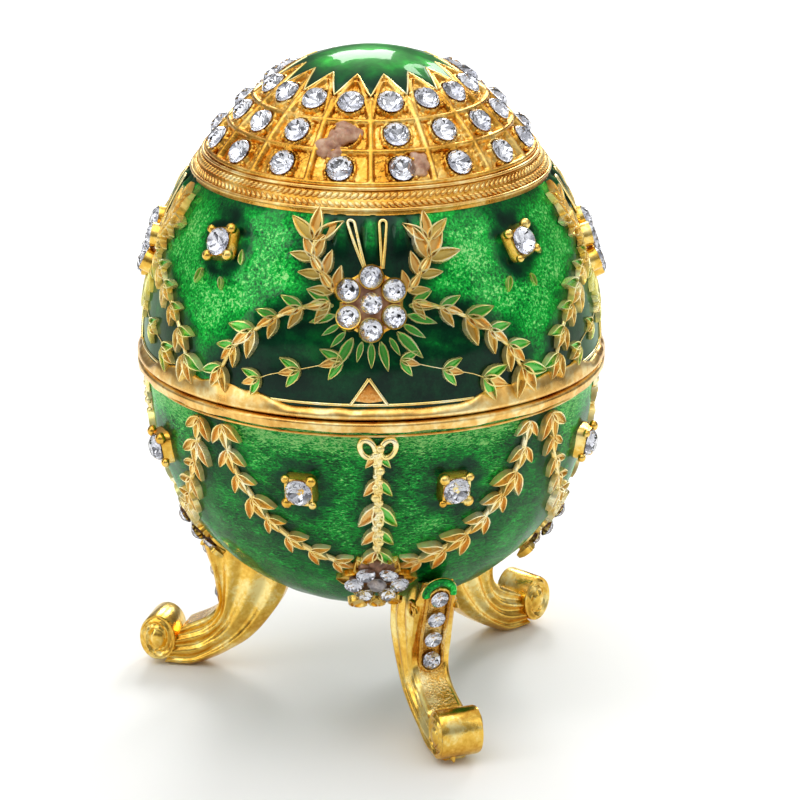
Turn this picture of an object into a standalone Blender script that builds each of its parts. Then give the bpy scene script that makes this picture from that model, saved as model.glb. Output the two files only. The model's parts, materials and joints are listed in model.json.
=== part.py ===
"""Jewelled egg trinket box: a hollow enamelled egg in two halves that stands on three cast scroll legs.

Lengths are millimetres here and become metres where a mesh point is made. Z is up and the table is z = 0.
An azimuth of 0 is the front (-Y) and grows to the right, so 90 is +X.
"""
import math

import bmesh
import bpy
from mathutils import Vector

MM = 0.001

# Driving dimensions of the egg
SEAM_HEIGHT = 39.5
LID_RADIUS = 25.1
LID_HEIGHT = 33.8
LID_TAPER = 0.14
BASE_INSET = 0.6
BASE_RADIUS = LID_RADIUS - BASE_INSET
BASE_DEPTH = 28.4
BASE_FULLNESS = 2.45
LID_WALL = 1.9

# Corners of the two profiles, as shares of each half's height from the seam
SIDES = 32
STAR_STEPS = (0.995, 0.975)
LID_STEPS = (0.50, 0.38, 0.26, 0.14)
LID_INNER_STEPS = (0.3, 0.58, 0.8, 0.94)
BASE_STEPS = (0.985, 0.925, 0.825, 0.70, 0.56, 0.40, 0.20)
BASE_INNER_STEPS = (0.0, 0.35, 0.62, 0.82, 0.95)

# The two rims that meet at the seam, and the lip that keeps the lid in place
RIM_PROUD = 0.8
RIM_HEIGHT = 1.35
RIM_CHAMFER = 0.35
LIP_HEIGHT = 1.8
LIP_THICKNESS = 0.9
LIP_CHAMFER = 0.2
GAP = 0.3

# Carving on the lid, placed by shares of the lid's height
ROPE_FROM = 0.618
ROPE_TO = 0.665
ROPE_PROUD = 0.45
ROPE_SLOPE = 0.2
TRELLIS_RINGS = (0.668, 0.753, 0.831, 0.918)
RING_SHARE = 0.013
TRELLIS_COLUMNS = 16
RIB_WIDTH = 1.0
TRELLIS_PROUD = 0.5
TRELLIS_LEAN = (0.8, 0.6)
CELL_WALL = 0.12
CELL_STONE_SLOPE = 0.85
CELL_STONE_PROUD = 0.8
STAR_EDGE = 0.945

# Garlands: one triangular ridge with toothed edges, sunk into the wall that carries it
LEAF_REACH = 1.45
LEAF_SLIP = 0.55
STEM_HALF = 0.5
LEAF_PROUD = 0.8
GARLAND_END_PROUD = 0.35
RELIEF_SINK = 0.5
# Routes of the garlands from the middle of a quarter: degrees aside, shares of each half's height
LID_SWAG = ((12.0, 0.343), (18.0, 0.334), (29.0, 0.254), (38.0, 0.100))
LID_WREATH = ((10.5, 0.455), (14.5, 0.505), (17.0, 0.590))
BASE_SWAG = ((42.0, 0.100), (39.0, 0.303), (30.0, 0.437), (17.0, 0.563))
BASE_DROP = ((0.0, 0.085), (0.0, 0.510))

# Stones and what holds them
SINGLE_STONE = 3.0
SETTING_MARGIN = 0.55
SETTING_PROUD = 0.55
SETTING_CORNER = 0.92
SETTING_TAPER = 0.86
STONE_CROWN = 0.57
STONE_BELT = 0.3
STONE_TABLE = 0.56
STONE_FOOT = 0.72
UPPER_PITCH = 2.75
LOWER_PITCH = 2.45
BED_THICKNESS = 0.4
BED_BULGE = 0.1
CLUSTER_STONE_INSET = 0.22
CLUSTER_STONE_PROUD = 0.6
UPPER_ROSETTE_AT = 0.358
LOWER_ROSETTE_AT = 0.700
LID_STONE_AT = 0.482
LID_STONE_TURN = 45.0
BASE_STONE_AT = 0.292
BASE_STONE_TURN = 19.5
# The base's ornament stands a little to the right of the lid's
BASE_TURN = 1.5

# Legs: a scroll drawn in shares of the leg's height, from where it meets the egg
LEG_TURNS = {"leg_front": 21.2, "leg_left": -104.0, "leg_right_rear": 134.0}
LEG_TOP_DROP = 20.3
LEG_STAND_OFF = 0.75
LEG_WIDTH = 4.6
LEG_TOP_WIDTH = 2.9
LEG_OUTER = ((0.060, 0.0), (0.030, 0.120), (-0.016, 0.255), (-0.058, 0.380),
             (-0.085, 0.500), (-0.070, 0.590), (-0.005, 0.665), (0.150, 0.745))
LEG_INNER = ((-0.537, 0.218), (-0.470, 0.490), (-0.370, 0.660), (-0.262, 0.785),
             (-0.150, 0.868), (-0.030, 0.940), (0.110, 1.0), (0.270, 1.0))
LEG_SECTION = ((0.0, 0.80), (0.10, 1.0), (0.24, 0.78), (0.38, 1.0), (0.52, 0.78),
               (0.66, 1.0), (0.80, 0.76), (0.90, 0.90), (1.0, 0.48))
ROLL_CENTRE = (0.298, 0.822)
ROLL_RADII = (0.112, 0.142)
ROLL_SIDES = 12
ROLL_OVERHANG = 0.2
LEG_STONE = 2.0
LEG_STONE_PITCH = 2.8
LEG_STONES = 4
LEG_FIRST_STONE = 2.2

QUARTERS = {"front": 0.0, "right": 90.0, "back": 180.0, "left": 270.0}


def linear(hex_colour):
    """Turn an sRGB hex colour into the linear values a shader takes."""
    values = []
    for start in (1, 3, 5):
        c = int(hex_colour[start:start + 2], 16) / 255
        values.append(c / 12.92 if c <= 0.04045 else ((c + 0.055) / 1.055) ** 2.4)
    return (*values, 1.0)


def material(name, hex_colour, roughness, metallic, transmission=0.0):
    """Make one Principled material."""
    made = bpy.data.materials.new(name)
    made.use_nodes = True
    shader = made.node_tree.nodes["Principled BSDF"]
    shader.inputs["Base Color"].default_value = linear(hex_colour)
    shader.inputs["Roughness"].default_value = roughness
    shader.inputs["Metallic"].default_value = metallic
    shader.inputs["Transmission Weight"].default_value = transmission
    made.diffuse_color = linear(hex_colour)
    return made


def polar(radius, azimuth, height):
    """A point in metres from a radius, an azimuth in degrees and a height above the table."""
    turn = math.radians(azimuth)
    return Vector((radius * math.sin(turn), -radius * math.cos(turn), height)) * MM


def lid_radius(rise, wall=0.0):
    """Radius of the lid at a rise above the seam, or of its inner face for a wall."""
    share = min(max(rise / (LID_HEIGHT - wall), 0.0), 1.0)
    return (LID_RADIUS - wall) * math.sqrt(1 - share ** 2) * (1 - LID_TAPER * share ** 3)


def base_radius(drop, wall=0.0):
    """Radius of the base at a drop below the seam, or of its inner face for a wall."""
    share = min(max(drop / (BASE_DEPTH - wall), 0.0), 1.0)
    return (BASE_RADIUS - wall) * math.sqrt(1 - share ** BASE_FULLNESS)


def surface(half, azimuth, level):
    """Point and outward normal of the egg at a level, counted away from the seam on one half."""
    step = 0.05
    if half == "lid":
        slope = (lid_radius(level + step) - lid_radius(level - step)) / (2 * step)
        point = polar(lid_radius(level), azimuth, SEAM_HEIGHT + level)
        normal = polar(1.0, azimuth, -slope)
    else:
        slope = (base_radius(level + step) - base_radius(level - step)) / (2 * step)
        point = polar(base_radius(level), azimuth, SEAM_HEIGHT - level)
        normal = polar(1.0, azimuth, slope)
    return point, normal.normalized()


def frame_at(point, normal):
    """Right, up and outward directions of a small flat place on the egg or a leg."""
    right = Vector((0, 0, 1)).cross(normal).normalized()
    return point, right, normal.cross(right), normal


def on_frame(frame, across, along, out):
    """A point given by millimetres across, up and out from a frame."""
    point, right, up, normal = frame
    return point + (right * across + up * along + normal * out) * MM


def finish(name, bm, *materials):
    """Put a bmesh into the scene as one object, outward and smooth with sharp edges."""
    bmesh.ops.recalc_face_normals(bm, faces=bm.faces)
    mesh = bpy.data.meshes.new(name)
    bm.to_mesh(mesh)
    bm.free()
    for each in materials:
        mesh.materials.append(each)
    mesh.shade_smooth()
    mesh.set_sharp_from_angle(angle=math.radians(35))
    made = bpy.data.objects.new(name, mesh)
    bpy.context.scene.collection.objects.link(made)
    return made


def hide_tool(tool):
    """Mark an object as a tool of a Boolean and not a piece."""
    tool.hide_render = True
    tool.display_type = "WIRE"
    return tool


def combine(piece, tool, operation):
    """Join a tool to a piece, or cut the piece with it."""
    modifier = piece.modifiers.new(tool.name, "BOOLEAN")
    modifier.operation = operation
    modifier.solver = "EXACT"
    modifier.object = tool
    modifier.material_mode = "TRANSFER"
    modifier.use_self = operation == "UNION"


def lathe(bm, profile, azimuths_of):
    """Turn a profile that starts and ends on the axis. Returns the faces of each step of the profile."""
    rows = []
    for index, (radius, height) in enumerate(profile):
        if radius < 1e-6:
            rows.append([bm.verts.new(polar(0.0, 0.0, height))])
        else:
            rows.append([bm.verts.new(polar(radius, a, height)) for a in azimuths_of(index)])
    bands = []
    for first, second in zip(rows, rows[1:]):
        count = max(len(first), len(second))
        faces = []
        for k in range(count):
            corners = [first[k % len(first)], first[(k + 1) % len(first)],
                       second[(k + 1) % len(second)], second[k % len(second)]]
            faces.append(bm.faces.new(list(dict.fromkeys(corners))))
        bands.append(faces)
    return bands


def even_azimuths():
    """Azimuths of the shell's corners where nothing asks for others."""
    return [360 * (k - 0.5) / SIDES for k in range(SIDES)]


def rib_azimuths(radius):
    """Azimuths of both edges of every trellis rib at a radius."""
    half = math.degrees(RIB_WIDTH / 2 / radius)
    azimuths = []
    for column in range(TRELLIS_COLUMNS):
        middle = 360 * column / TRELLIS_COLUMNS
        azimuths += [middle - half, middle + half]
    return azimuths


def lid_profile():
    """Outer face from the top to the rim, then the inner face back to the axis, and where the ribs lie."""
    rim = LID_RADIUS + RIM_PROUD
    low = SEAM_HEIGHT + GAP / 2
    profile = [(0.0, SEAM_HEIGHT + LID_HEIGHT)]
    for share in (*STAR_STEPS, STAR_EDGE):
        rise = share * LID_HEIGHT
        profile.append((lid_radius(rise), SEAM_HEIGHT + rise))
    first_rib_row = len(profile)
    rib_out, rib_up = (TRELLIS_PROUD * lean for lean in TRELLIS_LEAN)
    for ring in reversed(TRELLIS_RINGS):
        for share in (ring + RING_SHARE, ring):
            rise = share * LID_HEIGHT
            profile.append((lid_radius(rise) + rib_out, SEAM_HEIGHT + rise + rib_up))
    last_rib_row = len(profile) - 1
    rope_top = ROPE_TO * LID_HEIGHT
    rope_low = ROPE_FROM * LID_HEIGHT
    rope_edge = (rope_top - rope_low) * ROPE_SLOPE
    profile.append((lid_radius(rope_top) + ROPE_PROUD, SEAM_HEIGHT + rope_top))
    profile.append((lid_radius(rope_low) + ROPE_PROUD, SEAM_HEIGHT + rope_low + rope_edge))
    profile.append((lid_radius(rope_low), SEAM_HEIGHT + rope_low - rope_edge))
    for share in LID_STEPS:
        profile.append((lid_radius(share * LID_HEIGHT), SEAM_HEIGHT + share * LID_HEIGHT))
    profile.append((lid_radius(RIM_HEIGHT + RIM_CHAMFER), SEAM_HEIGHT + RIM_HEIGHT + RIM_CHAMFER))
    profile += [(rim, SEAM_HEIGHT + RIM_HEIGHT), (rim, low + RIM_CHAMFER), (rim - RIM_CHAMFER, low)]
    rim_row = len(profile) - 1
    profile.append((lid_radius(0, LID_WALL), low))
    for share in LID_INNER_STEPS:
        rise = share * (LID_HEIGHT - LID_WALL)
        profile.append((lid_radius(rise, LID_WALL), SEAM_HEIGHT + rise))
    profile.append((0.0, SEAM_HEIGHT + LID_HEIGHT - LID_WALL))
    return profile, first_rib_row, last_rib_row, rim_row


def jewel_cells(bm, bands, first_row):
    """Sink the trellis cells between the ribs and raise one few-sided stone in each."""
    cells = []
    for ring in range(len(TRELLIS_RINGS) - 1):
        band = bands[first_row + 2 * ring + 1]
        cells += band[1::2]
    bmesh.ops.inset_individual(bm, faces=cells, thickness=CELL_WALL * MM, depth=-TRELLIS_PROUD * MM)
    bmesh.ops.inset_individual(bm, faces=cells, thickness=CELL_STONE_SLOPE * MM, depth=CELL_STONE_PROUD * MM)
    return cells


def make_lid(enamel, gilt, glass):
    """The lid casting without its garlands."""
    profile, first_rib, last_rib, rim_row = lid_profile()

    def azimuths(index):
        radius = profile[index][0]
        if first_rib <= index <= last_rib:
            return rib_azimuths(radius)
        return even_azimuths()

    bm = bmesh.new()
    bands = lathe(bm, profile, azimuths)
    for band in bands[first_rib - 1:last_rib + 2] + bands[rim_row - 3:]:
        for face in band:
            face.material_index = 1
    for face in jewel_cells(bm, bands, first_rib):
        face.material_index = 2
    return finish("lid_shell", bm, enamel, gilt, glass)


def make_base(enamel, gilt):
    """The base casting without its garlands: outer face from the bottom up, rim, lip and inner face."""
    rim = LID_RADIUS + RIM_PROUD
    top = SEAM_HEIGHT - GAP / 2
    lip_outer = lid_radius(0, LID_WALL) - GAP
    inner_wall = BASE_RADIUS - (lip_outer - LIP_THICKNESS)
    profile = [(0.0, SEAM_HEIGHT - BASE_DEPTH)]
    for share in BASE_STEPS:
        profile.append((base_radius(share * BASE_DEPTH), SEAM_HEIGHT - share * BASE_DEPTH))
    profile.append((base_radius(RIM_HEIGHT + RIM_CHAMFER), SEAM_HEIGHT - RIM_HEIGHT - RIM_CHAMFER))
    first_rim = len(profile)
    profile += [(rim, SEAM_HEIGHT - RIM_HEIGHT), (rim, top - RIM_CHAMFER), (rim - RIM_CHAMFER, top)]
    profile += [(lip_outer, top), (lip_outer, SEAM_HEIGHT + LIP_HEIGHT - LIP_CHAMFER),
                (lip_outer - LIP_CHAMFER, SEAM_HEIGHT + LIP_HEIGHT)]
    profile.append((lip_outer - LIP_THICKNESS, SEAM_HEIGHT + LIP_HEIGHT))
    for share in BASE_INNER_STEPS:
        drop = share * (BASE_DEPTH - inner_wall)
        profile.append((base_radius(drop, inner_wall), SEAM_HEIGHT - drop))
    profile.append((0.0, SEAM_HEIGHT - BASE_DEPTH + inner_wall))
    bm = bmesh.new()
    bands = lathe(bm, profile, lambda index: even_azimuths())
    for band in bands[first_rim - 1:]:
        for face in band:
            face.material_index = 1
    return finish("base_shell", bm, enamel, gilt)


def along_route(route, share):
    """Azimuth and level at a share of a route of (azimuth, level) stops."""
    place = share * (len(route) - 1)
    index = min(int(place), len(route) - 2)
    part = place - index
    return tuple(a + (b - a) * part for a, b in zip(route[index], route[index + 1]))


def garland(bm, half, route, pairs):
    """A run of paired leaves along a route, as one closed ridge whose edges are toothed."""
    stations = 2 * pairs
    step = 0.01
    rings = []
    for index in range(stations + 1):
        share = index / stations
        point, normal = surface(half, *along_route(route, share))
        ahead = surface(half, *along_route(route, min(share + step, 1.0)))[0]
        behind = surface(half, *along_route(route, max(share - step, 0.0)))[0]
        forward = (ahead - behind).normalized()
        side = normal.cross(forward)
        leaf = index % 2 == 1
        proud = GARLAND_END_PROUD if index in (0, stations) else LEAF_PROUD
        reach = (LEAF_REACH if leaf else STEM_HALF) * (proud + RELIEF_SINK) / proud
        slip = LEAF_SLIP if leaf else 0.0
        ridge = point + normal * proud * MM
        left = point + (side * reach + forward * slip - normal * RELIEF_SINK) * MM
        right = point + (-side * reach + forward * slip - normal * RELIEF_SINK) * MM
        rings.append([bm.verts.new(p) for p in (left, ridge, right)])
    for first, second in zip(rings, rings[1:]):
        for k in range(3):
            bm.faces.new((first[k], first[(k + 1) % 3], second[(k + 1) % 3], second[k]))
    bm.faces.new(rings[0])
    bm.faces.new(rings[-1])


def stud(bm, frame, rings, sides, turn):
    """A faceted stud on a frame, from rings of (radius, height), closed at both ends."""
    loops = []
    for radius, height in rings:
        loop = []
        for k in range(sides):
            angle = math.radians(turn + 360 * k / sides)
            across, along = radius * math.cos(angle), radius * math.sin(angle)
            loop.append(bm.verts.new(on_frame(frame, across, along, height)))
        loops.append(loop)
    for first, second in zip(loops, loops[1:]):
        for k in range(sides):
            n = (k + 1) % sides
            bm.faces.new((first[k], first[n], second[n], second[k]))
    bm.faces.new(loops[0])
    bm.faces.new(loops[-1])


def seat(bm, frame):
    """The square setting under a single stone, sunk into the wall."""
    radius = (SINGLE_STONE / 2 + SETTING_MARGIN) * math.sqrt(2) * SETTING_CORNER
    stud(bm, frame, ((radius, -RELIEF_SINK), (radius * SETTING_TAPER, SETTING_PROUD)), 4, 45)


def single_stone(name, frame, diameter, lift, belt, glass):
    """One round cut stone: a belt that widens from the seat where there is one, a crown and a flat table."""
    radius = diameter / 2
    rings = [(radius, lift + belt), (radius * STONE_TABLE, lift + belt + STONE_CROWN * radius)]
    if belt:
        rings.insert(0, (radius * STONE_FOOT, lift))
    bm = bmesh.new()
    stud(bm, frame, rings, 6, 0)
    return finish(name, bm, glass)


def rosette(name, frame, pitch, turn, glass):
    """Seven stones on one bed of adhesive: a flower of hexagons, each raised to a cut stone."""
    bm = bmesh.new()
    corner = pitch / math.sqrt(3)
    lift = GAP + BED_BULGE
    centres = [(0.0, 0.0)]
    for k in range(6):
        angle = math.radians(turn + 60 * k)
        centres.append((pitch * math.cos(angle), pitch * math.sin(angle)))
    tops = []
    for x, y in centres:
        ring = []
        for k in range(6):
            angle = math.radians(turn + 30 + 60 * k)
            ring.append(bm.verts.new(on_frame(frame, x + corner * math.cos(angle),
                                              y + corner * math.sin(angle), lift + BED_THICKNESS)))
        tops.append(bm.faces.new(ring))
    bmesh.ops.remove_doubles(bm, verts=bm.verts, dist=GAP * MM / 30)
    outline = [edge for edge in bm.edges if edge.is_boundary]
    skirt = bmesh.ops.extrude_edge_only(bm, edges=outline)["geom"]
    lowered = [v for v in skirt if isinstance(v, bmesh.types.BMVert)]
    bmesh.ops.translate(bm, verts=lowered, vec=-frame[3] * BED_THICKNESS * MM)
    rim = [edge for edge in bm.edges if edge.is_boundary]
    bmesh.ops.contextual_create(bm, geom=rim)
    tops = [face for face in bm.faces if face.is_valid and len(face.verts) == 6]
    bmesh.ops.inset_individual(bm, faces=tops, thickness=CLUSTER_STONE_INSET * MM,
                               depth=CLUSTER_STONE_PROUD * MM)
    return finish(name, bm, glass)


def make_relief(enamel, gilt, lid, base):
    """Garlands and settings of both halves, joined to their castings."""
    lid_relief = bmesh.new()
    base_relief = bmesh.new()
    for middle in QUARTERS.values():
        for side in (-1, 1):
            for route, pairs in ((LID_SWAG, 6), (LID_WREATH, 3)):
                garland(lid_relief, "lid", [(middle + side * a, s * LID_HEIGHT) for a, s in route], pairs)
            below = middle + BASE_TURN
            garland(base_relief, "base", [(below + side * a, s * BASE_DEPTH) for a, s in BASE_SWAG], 6)
            point, normal = surface("base", below + side * BASE_STONE_TURN, BASE_STONE_AT * BASE_DEPTH)
            seat(base_relief, frame_at(point, normal))
        point, normal = surface("lid", middle + LID_STONE_TURN, LID_STONE_AT * LID_HEIGHT)
        seat(lid_relief, frame_at(point, normal))
        garland(base_relief, "base", [(middle + BASE_TURN + a, s * BASE_DEPTH) for a, s in BASE_DROP], 5)
    combine(lid, hide_tool(finish("lid_relief", lid_relief, gilt)), "UNION")
    combine(base, hide_tool(finish("base_relief", base_relief, gilt)), "UNION")


def leg_point(turn, place, across=0.0):
    """A point of a leg, from its place in shares of the leg's height and millimetres sideways."""
    height = SEAM_HEIGHT - LEG_TOP_DROP
    out, down = place
    radius = base_radius(LEG_TOP_DROP) + LEG_STAND_OFF + out * height
    side = polar(1.0, turn + 90, 0.0) * across
    return polar(radius, turn, height * (1 - down)) + side


def make_leg(name, turn, gilt, clearance):
    """One cast scroll leg: a fluted body that narrows to a volute, cut to the egg with a clearance."""
    bm = bmesh.new()
    rings = []
    for index, (outer, inner) in enumerate(zip(LEG_OUTER, LEG_INNER)):
        half = (LEG_TOP_WIDTH if index == 0 else LEG_WIDTH) / 2
        ring = []
        outline = [(share, width) for share, width in LEG_SECTION]
        outline += [(share, -width) for share, width in reversed(LEG_SECTION)]
        for share, width in outline:
            place = [o + (i - o) * share for o, i in zip(outer, inner)]
            ring.append(bm.verts.new(leg_point(turn, place, width * half)))
        rings.append(ring)
    for first, second in zip(rings, rings[1:]):
        for k in range(len(first)):
            n = (k + 1) % len(first)
            bm.faces.new((first[k], first[n], second[n], second[k]))
    bm.faces.new(rings[0])
    bm.faces.new(rings[-1])
    leg = finish(name, bm, gilt)

    bm = bmesh.new()
    ends = []
    for side in (-1, 1):
        across = side * (LEG_WIDTH / 2 + ROLL_OVERHANG)
        end = []
        for k in range(ROLL_SIDES):
            angle = 2 * math.pi * (k + 0.5) / ROLL_SIDES
            out = ROLL_CENTRE[0] + ROLL_RADII[0] * math.cos(angle)
            down = ROLL_CENTRE[1] + ROLL_RADII[1] * math.sin(angle)
            end.append(bm.verts.new(leg_point(turn, (out, down), across)))
        bm.faces.new(end)
        ends.append(end)
    for k in range(ROLL_SIDES):
        n = (k + 1) % ROLL_SIDES
        bm.faces.new((ends[0][k], ends[0][n], ends[1][n], ends[1][k]))
    combine(leg, hide_tool(finish(name + "_roll", bm, gilt)), "UNION")
    combine(leg, clearance, "DIFFERENCE")
    return leg


def leg_stone_frames(turn):
    """Frames of a leg's stones, which lie one after another down its outer face."""
    corners = [leg_point(turn, place) for place in LEG_OUTER]
    frames = []
    for k in range(LEG_STONES):
        left = (LEG_FIRST_STONE + k * LEG_STONE_PITCH) * MM
        for first, second in zip(corners, corners[1:]):
            length = (second - first).length
            if left <= length:
                break
            left -= length
        down = (second - first).normalized()
        right = polar(1.0, turn + 90, 0.0).normalized()
        frames.append((first + down * left, right, -down, right.cross(-down)))
    return frames


def make_clearance(gilt):
    """The base's outer form grown by the gap, which trims the tops of the legs."""
    top = SEAM_HEIGHT - RIM_HEIGHT - 4 * RIM_CHAMFER
    profile = [(0.0, SEAM_HEIGHT - BASE_DEPTH - GAP)]
    for share in BASE_STEPS:
        profile.append((base_radius(share * BASE_DEPTH) + GAP, SEAM_HEIGHT - share * BASE_DEPTH - GAP))
    profile.append((0.0, top))
    bm = bmesh.new()
    lathe(bm, profile, lambda index: even_azimuths())
    return hide_tool(finish("leg_clearance", bm, gilt))


def build():
    """Make every piece."""
    for startup in list(bpy.data.objects):
        bpy.data.objects.remove(startup)
    enamel = material("green_enamel", "#128a36", 0.15, 0.3)
    gilt = material("gilt_casting", "#d8a23c", 0.28, 1.0)
    glass = material("clear_cut_glass", "#f2f6f8", 0.03, 0.0, 0.9)

    lid = make_lid(enamel, gilt, glass)
    base = make_base(enamel, gilt)
    make_relief(enamel, gilt, lid, base)

    for name, middle in QUARTERS.items():
        frame = frame_at(*surface("lid", middle, UPPER_ROSETTE_AT * LID_HEIGHT))
        rosette("upper_rosette_" + name, frame, UPPER_PITCH, 90, glass)
        frame = frame_at(*surface("base", middle + BASE_TURN, LOWER_ROSETTE_AT * BASE_DEPTH))
        rosette("lower_rosette_" + name, frame, LOWER_PITCH, 0, glass)

    for index, middle in enumerate(QUARTERS.values()):
        frame = frame_at(*surface("lid", middle + LID_STONE_TURN, LID_STONE_AT * LID_HEIGHT))
        single_stone(f"lid_stone_{index + 1}", frame, SINGLE_STONE, SETTING_PROUD + GAP, STONE_BELT, glass)
        for number, side in enumerate((-1, 1)):
            azimuth = middle + BASE_TURN + side * BASE_STONE_TURN
            frame = frame_at(*surface("base", azimuth, BASE_STONE_AT * BASE_DEPTH))
            name = f"base_stone_{2 * index + number + 1}"
            single_stone(name, frame, SINGLE_STONE, SETTING_PROUD + GAP, STONE_BELT, glass)

    clearance = make_clearance(gilt)
    for name, turn in LEG_TURNS.items():
        make_leg(name, turn, gilt, clearance)
        for index, frame in enumerate(leg_stone_frames(turn)):
            single_stone(f"{name}_stone_{index + 1}", frame, LEG_STONE, GAP, 0.0, glass)


build()
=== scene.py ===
"""Jewelled egg trinket box: the looks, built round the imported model.

Lengths are millimetres here and become metres where a mesh point is made. Z is up and the table is z = 0.
An azimuth of 0 is the front (-Y) and grows to the right. A level counts from the seam, away from it on each
half.
"""
import json
import math

import bmesh
import bpy
import numpy as np
from mathutils import Matrix, Vector, kdtree

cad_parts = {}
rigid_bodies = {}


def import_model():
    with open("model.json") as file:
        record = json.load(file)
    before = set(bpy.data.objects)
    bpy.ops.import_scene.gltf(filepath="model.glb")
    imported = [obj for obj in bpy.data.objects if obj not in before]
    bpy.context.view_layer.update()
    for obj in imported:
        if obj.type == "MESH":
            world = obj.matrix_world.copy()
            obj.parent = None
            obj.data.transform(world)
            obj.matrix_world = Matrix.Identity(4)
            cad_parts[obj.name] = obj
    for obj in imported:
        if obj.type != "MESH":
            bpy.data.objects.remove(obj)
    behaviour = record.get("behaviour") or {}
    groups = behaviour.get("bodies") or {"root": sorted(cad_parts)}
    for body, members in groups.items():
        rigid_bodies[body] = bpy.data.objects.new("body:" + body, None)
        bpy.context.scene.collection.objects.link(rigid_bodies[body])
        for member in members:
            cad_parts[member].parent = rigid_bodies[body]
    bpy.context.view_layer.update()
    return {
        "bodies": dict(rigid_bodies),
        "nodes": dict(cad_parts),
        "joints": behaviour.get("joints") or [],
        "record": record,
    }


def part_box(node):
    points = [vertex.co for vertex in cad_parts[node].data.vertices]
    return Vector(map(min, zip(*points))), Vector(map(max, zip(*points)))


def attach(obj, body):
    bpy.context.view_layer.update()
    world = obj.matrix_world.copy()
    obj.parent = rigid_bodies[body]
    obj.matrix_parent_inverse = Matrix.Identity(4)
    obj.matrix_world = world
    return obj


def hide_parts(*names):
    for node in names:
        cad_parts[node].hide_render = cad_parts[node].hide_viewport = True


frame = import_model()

MM = 0.001
GAP = 0.3

# The seam, the heights and the rim come from the frame
LID_LOW, LID_TOP = (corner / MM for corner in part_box("lid_shell"))
BASE_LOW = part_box("base_shell")[0] / MM
SEAM = LID_LOW.z - GAP / 2
LID_HEIGHT = LID_TOP.z - SEAM
BASE_DEPTH = SEAM - BASE_LOW.z
RIM = LID_TOP.x

# The outline and the walls, as in the model
LID_RADIUS = 25.1
LID_TAPER = 0.14
BASE_INSET = 0.6
BASE_RADIUS = LID_RADIUS - BASE_INSET
BASE_FULLNESS = 2.45
LID_WALL = 1.9
RIM_HEIGHT = 1.35
LIP_HEIGHT = 1.8
LIP_THICKNESS = 0.9

# The ornament repeats in four quarters
QUARTERS = (0.0, 90.0, 180.0, 270.0)
QUARTER_NAMES = ("front", "right", "back", "left")
# The base's ornament stands a little to the right of the lid's
BASE_TURN = 1.5
MIDDLES = {"lid": QUARTERS, "base": tuple(turn + BASE_TURN for turn in QUARTERS)}
SEED = 7


def linear(hex_colour):
    """sRGB hex to the linear values that a shader takes."""
    values = []
    for start in (1, 3, 5):
        c = int(hex_colour[start:start + 2], 16) / 255
        values.append(c / 12.92 if c <= 0.04045 else ((c + 0.055) / 1.055) ** 2.4)
    return (*values, 1.0)


# Points on the egg

def around(count, shift=0.0):
    """Angles in degrees, evenly spaced round a circle."""
    return (np.arange(count) + shift) * 360 / count


def polar(radius, azimuth, height):
    """A point in millimetres. Takes numbers or arrays, with the azimuth in degrees."""
    turn = np.radians(azimuth)
    x = radius * np.sin(turn)
    return np.stack(np.broadcast_arrays(x, -radius * np.cos(turn), height), axis=-1)


def lid_radius(rise, wall=0.0):
    """Radius of the lid, or of its inner face for a wall, at a rise above the seam."""
    share = np.clip(np.asarray(rise, float) / (LID_HEIGHT - wall), 0, 1)
    return (LID_RADIUS - wall) * np.sqrt(1 - share ** 2) * (1 - LID_TAPER * share ** 3)


def base_radius(drop, wall=0.0):
    """Radius of the base, or of its inner face for a wall, at a drop below the seam."""
    share = np.clip(np.asarray(drop, float) / (BASE_DEPTH - wall), 0, 1)
    return (BASE_RADIUS - wall) * np.sqrt(1 - share ** BASE_FULLNESS)


def on_egg(half, azimuth, level, lift=0.0):
    """Points in millimetres on a half of the egg, raised by a lift along the normal."""
    radius_of, up = (lid_radius, 1) if half == "lid" else (base_radius, -1)
    level = np.asarray(level, float)
    step = 0.02
    slope = (radius_of(level + step) - radius_of(level - step)) / (2 * step)
    length = np.sqrt(1 + slope ** 2)
    radius = radius_of(level) + lift / length
    return polar(radius, azimuth, SEAM + up * (level - lift * slope / length))


def normal_on(half, azimuth, level):
    """The outward normal as a Vector."""
    raised = on_egg(half, azimuth, level, 1.0) - on_egg(half, azimuth, level, 0.0)
    return Vector(raised).normalized()


def spot(half, azimuth, level, lift=0.0, spin=0.0):
    """A matrix in millimetres whose Z is the outward normal and whose Y points up the egg."""
    normal = normal_on(half, azimuth, level)
    right = Vector((0, 0, 1)).cross(normal).normalized()
    up = normal.cross(right)
    turn = Matrix((right, up, normal)).transposed().to_4x4() @ Matrix.Rotation(math.radians(spin), 4, "Z")
    turn.translation = Vector(on_egg(half, azimuth, level, lift))
    return turn


# Meshes

def piece(name, points, faces, *materials, face_slots=None, values=None, smooth=True):
    """One mesh object from points in millimetres, with its faces turned outwards."""
    mesh = bpy.data.meshes.new(name)
    mesh.from_pydata([tuple(p) for p in np.asarray(points, float) * MM], [], faces)
    for each in materials:
        mesh.materials.append(each)
    if face_slots is not None:
        mesh.polygons.foreach_set("material_index", np.asarray(face_slots, np.int32))
    for attribute, numbers in (values or {}).items():
        stored = mesh.attributes.new(attribute, "FLOAT", "POINT")
        stored.data.foreach_set("value", np.asarray(numbers, np.float32))
    bm = bmesh.new()
    bm.from_mesh(mesh)
    bmesh.ops.recalc_face_normals(bm, faces=bm.faces)
    bm.to_mesh(mesh)
    bm.free()
    if smooth:
        mesh.shade_smooth()
        mesh.set_sharp_from_angle(angle=math.radians(50))
    made = bpy.data.objects.new(name, mesh)
    bpy.context.scene.collection.objects.link(made)
    return made


def settle(made, *nodes, slot="gilt_metal"):
    """Fix a finished piece to the body, and hide the CAD nodes it stands for. Its slot is not used."""
    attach(made, "root")
    if nodes:
        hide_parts(*nodes)


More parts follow.
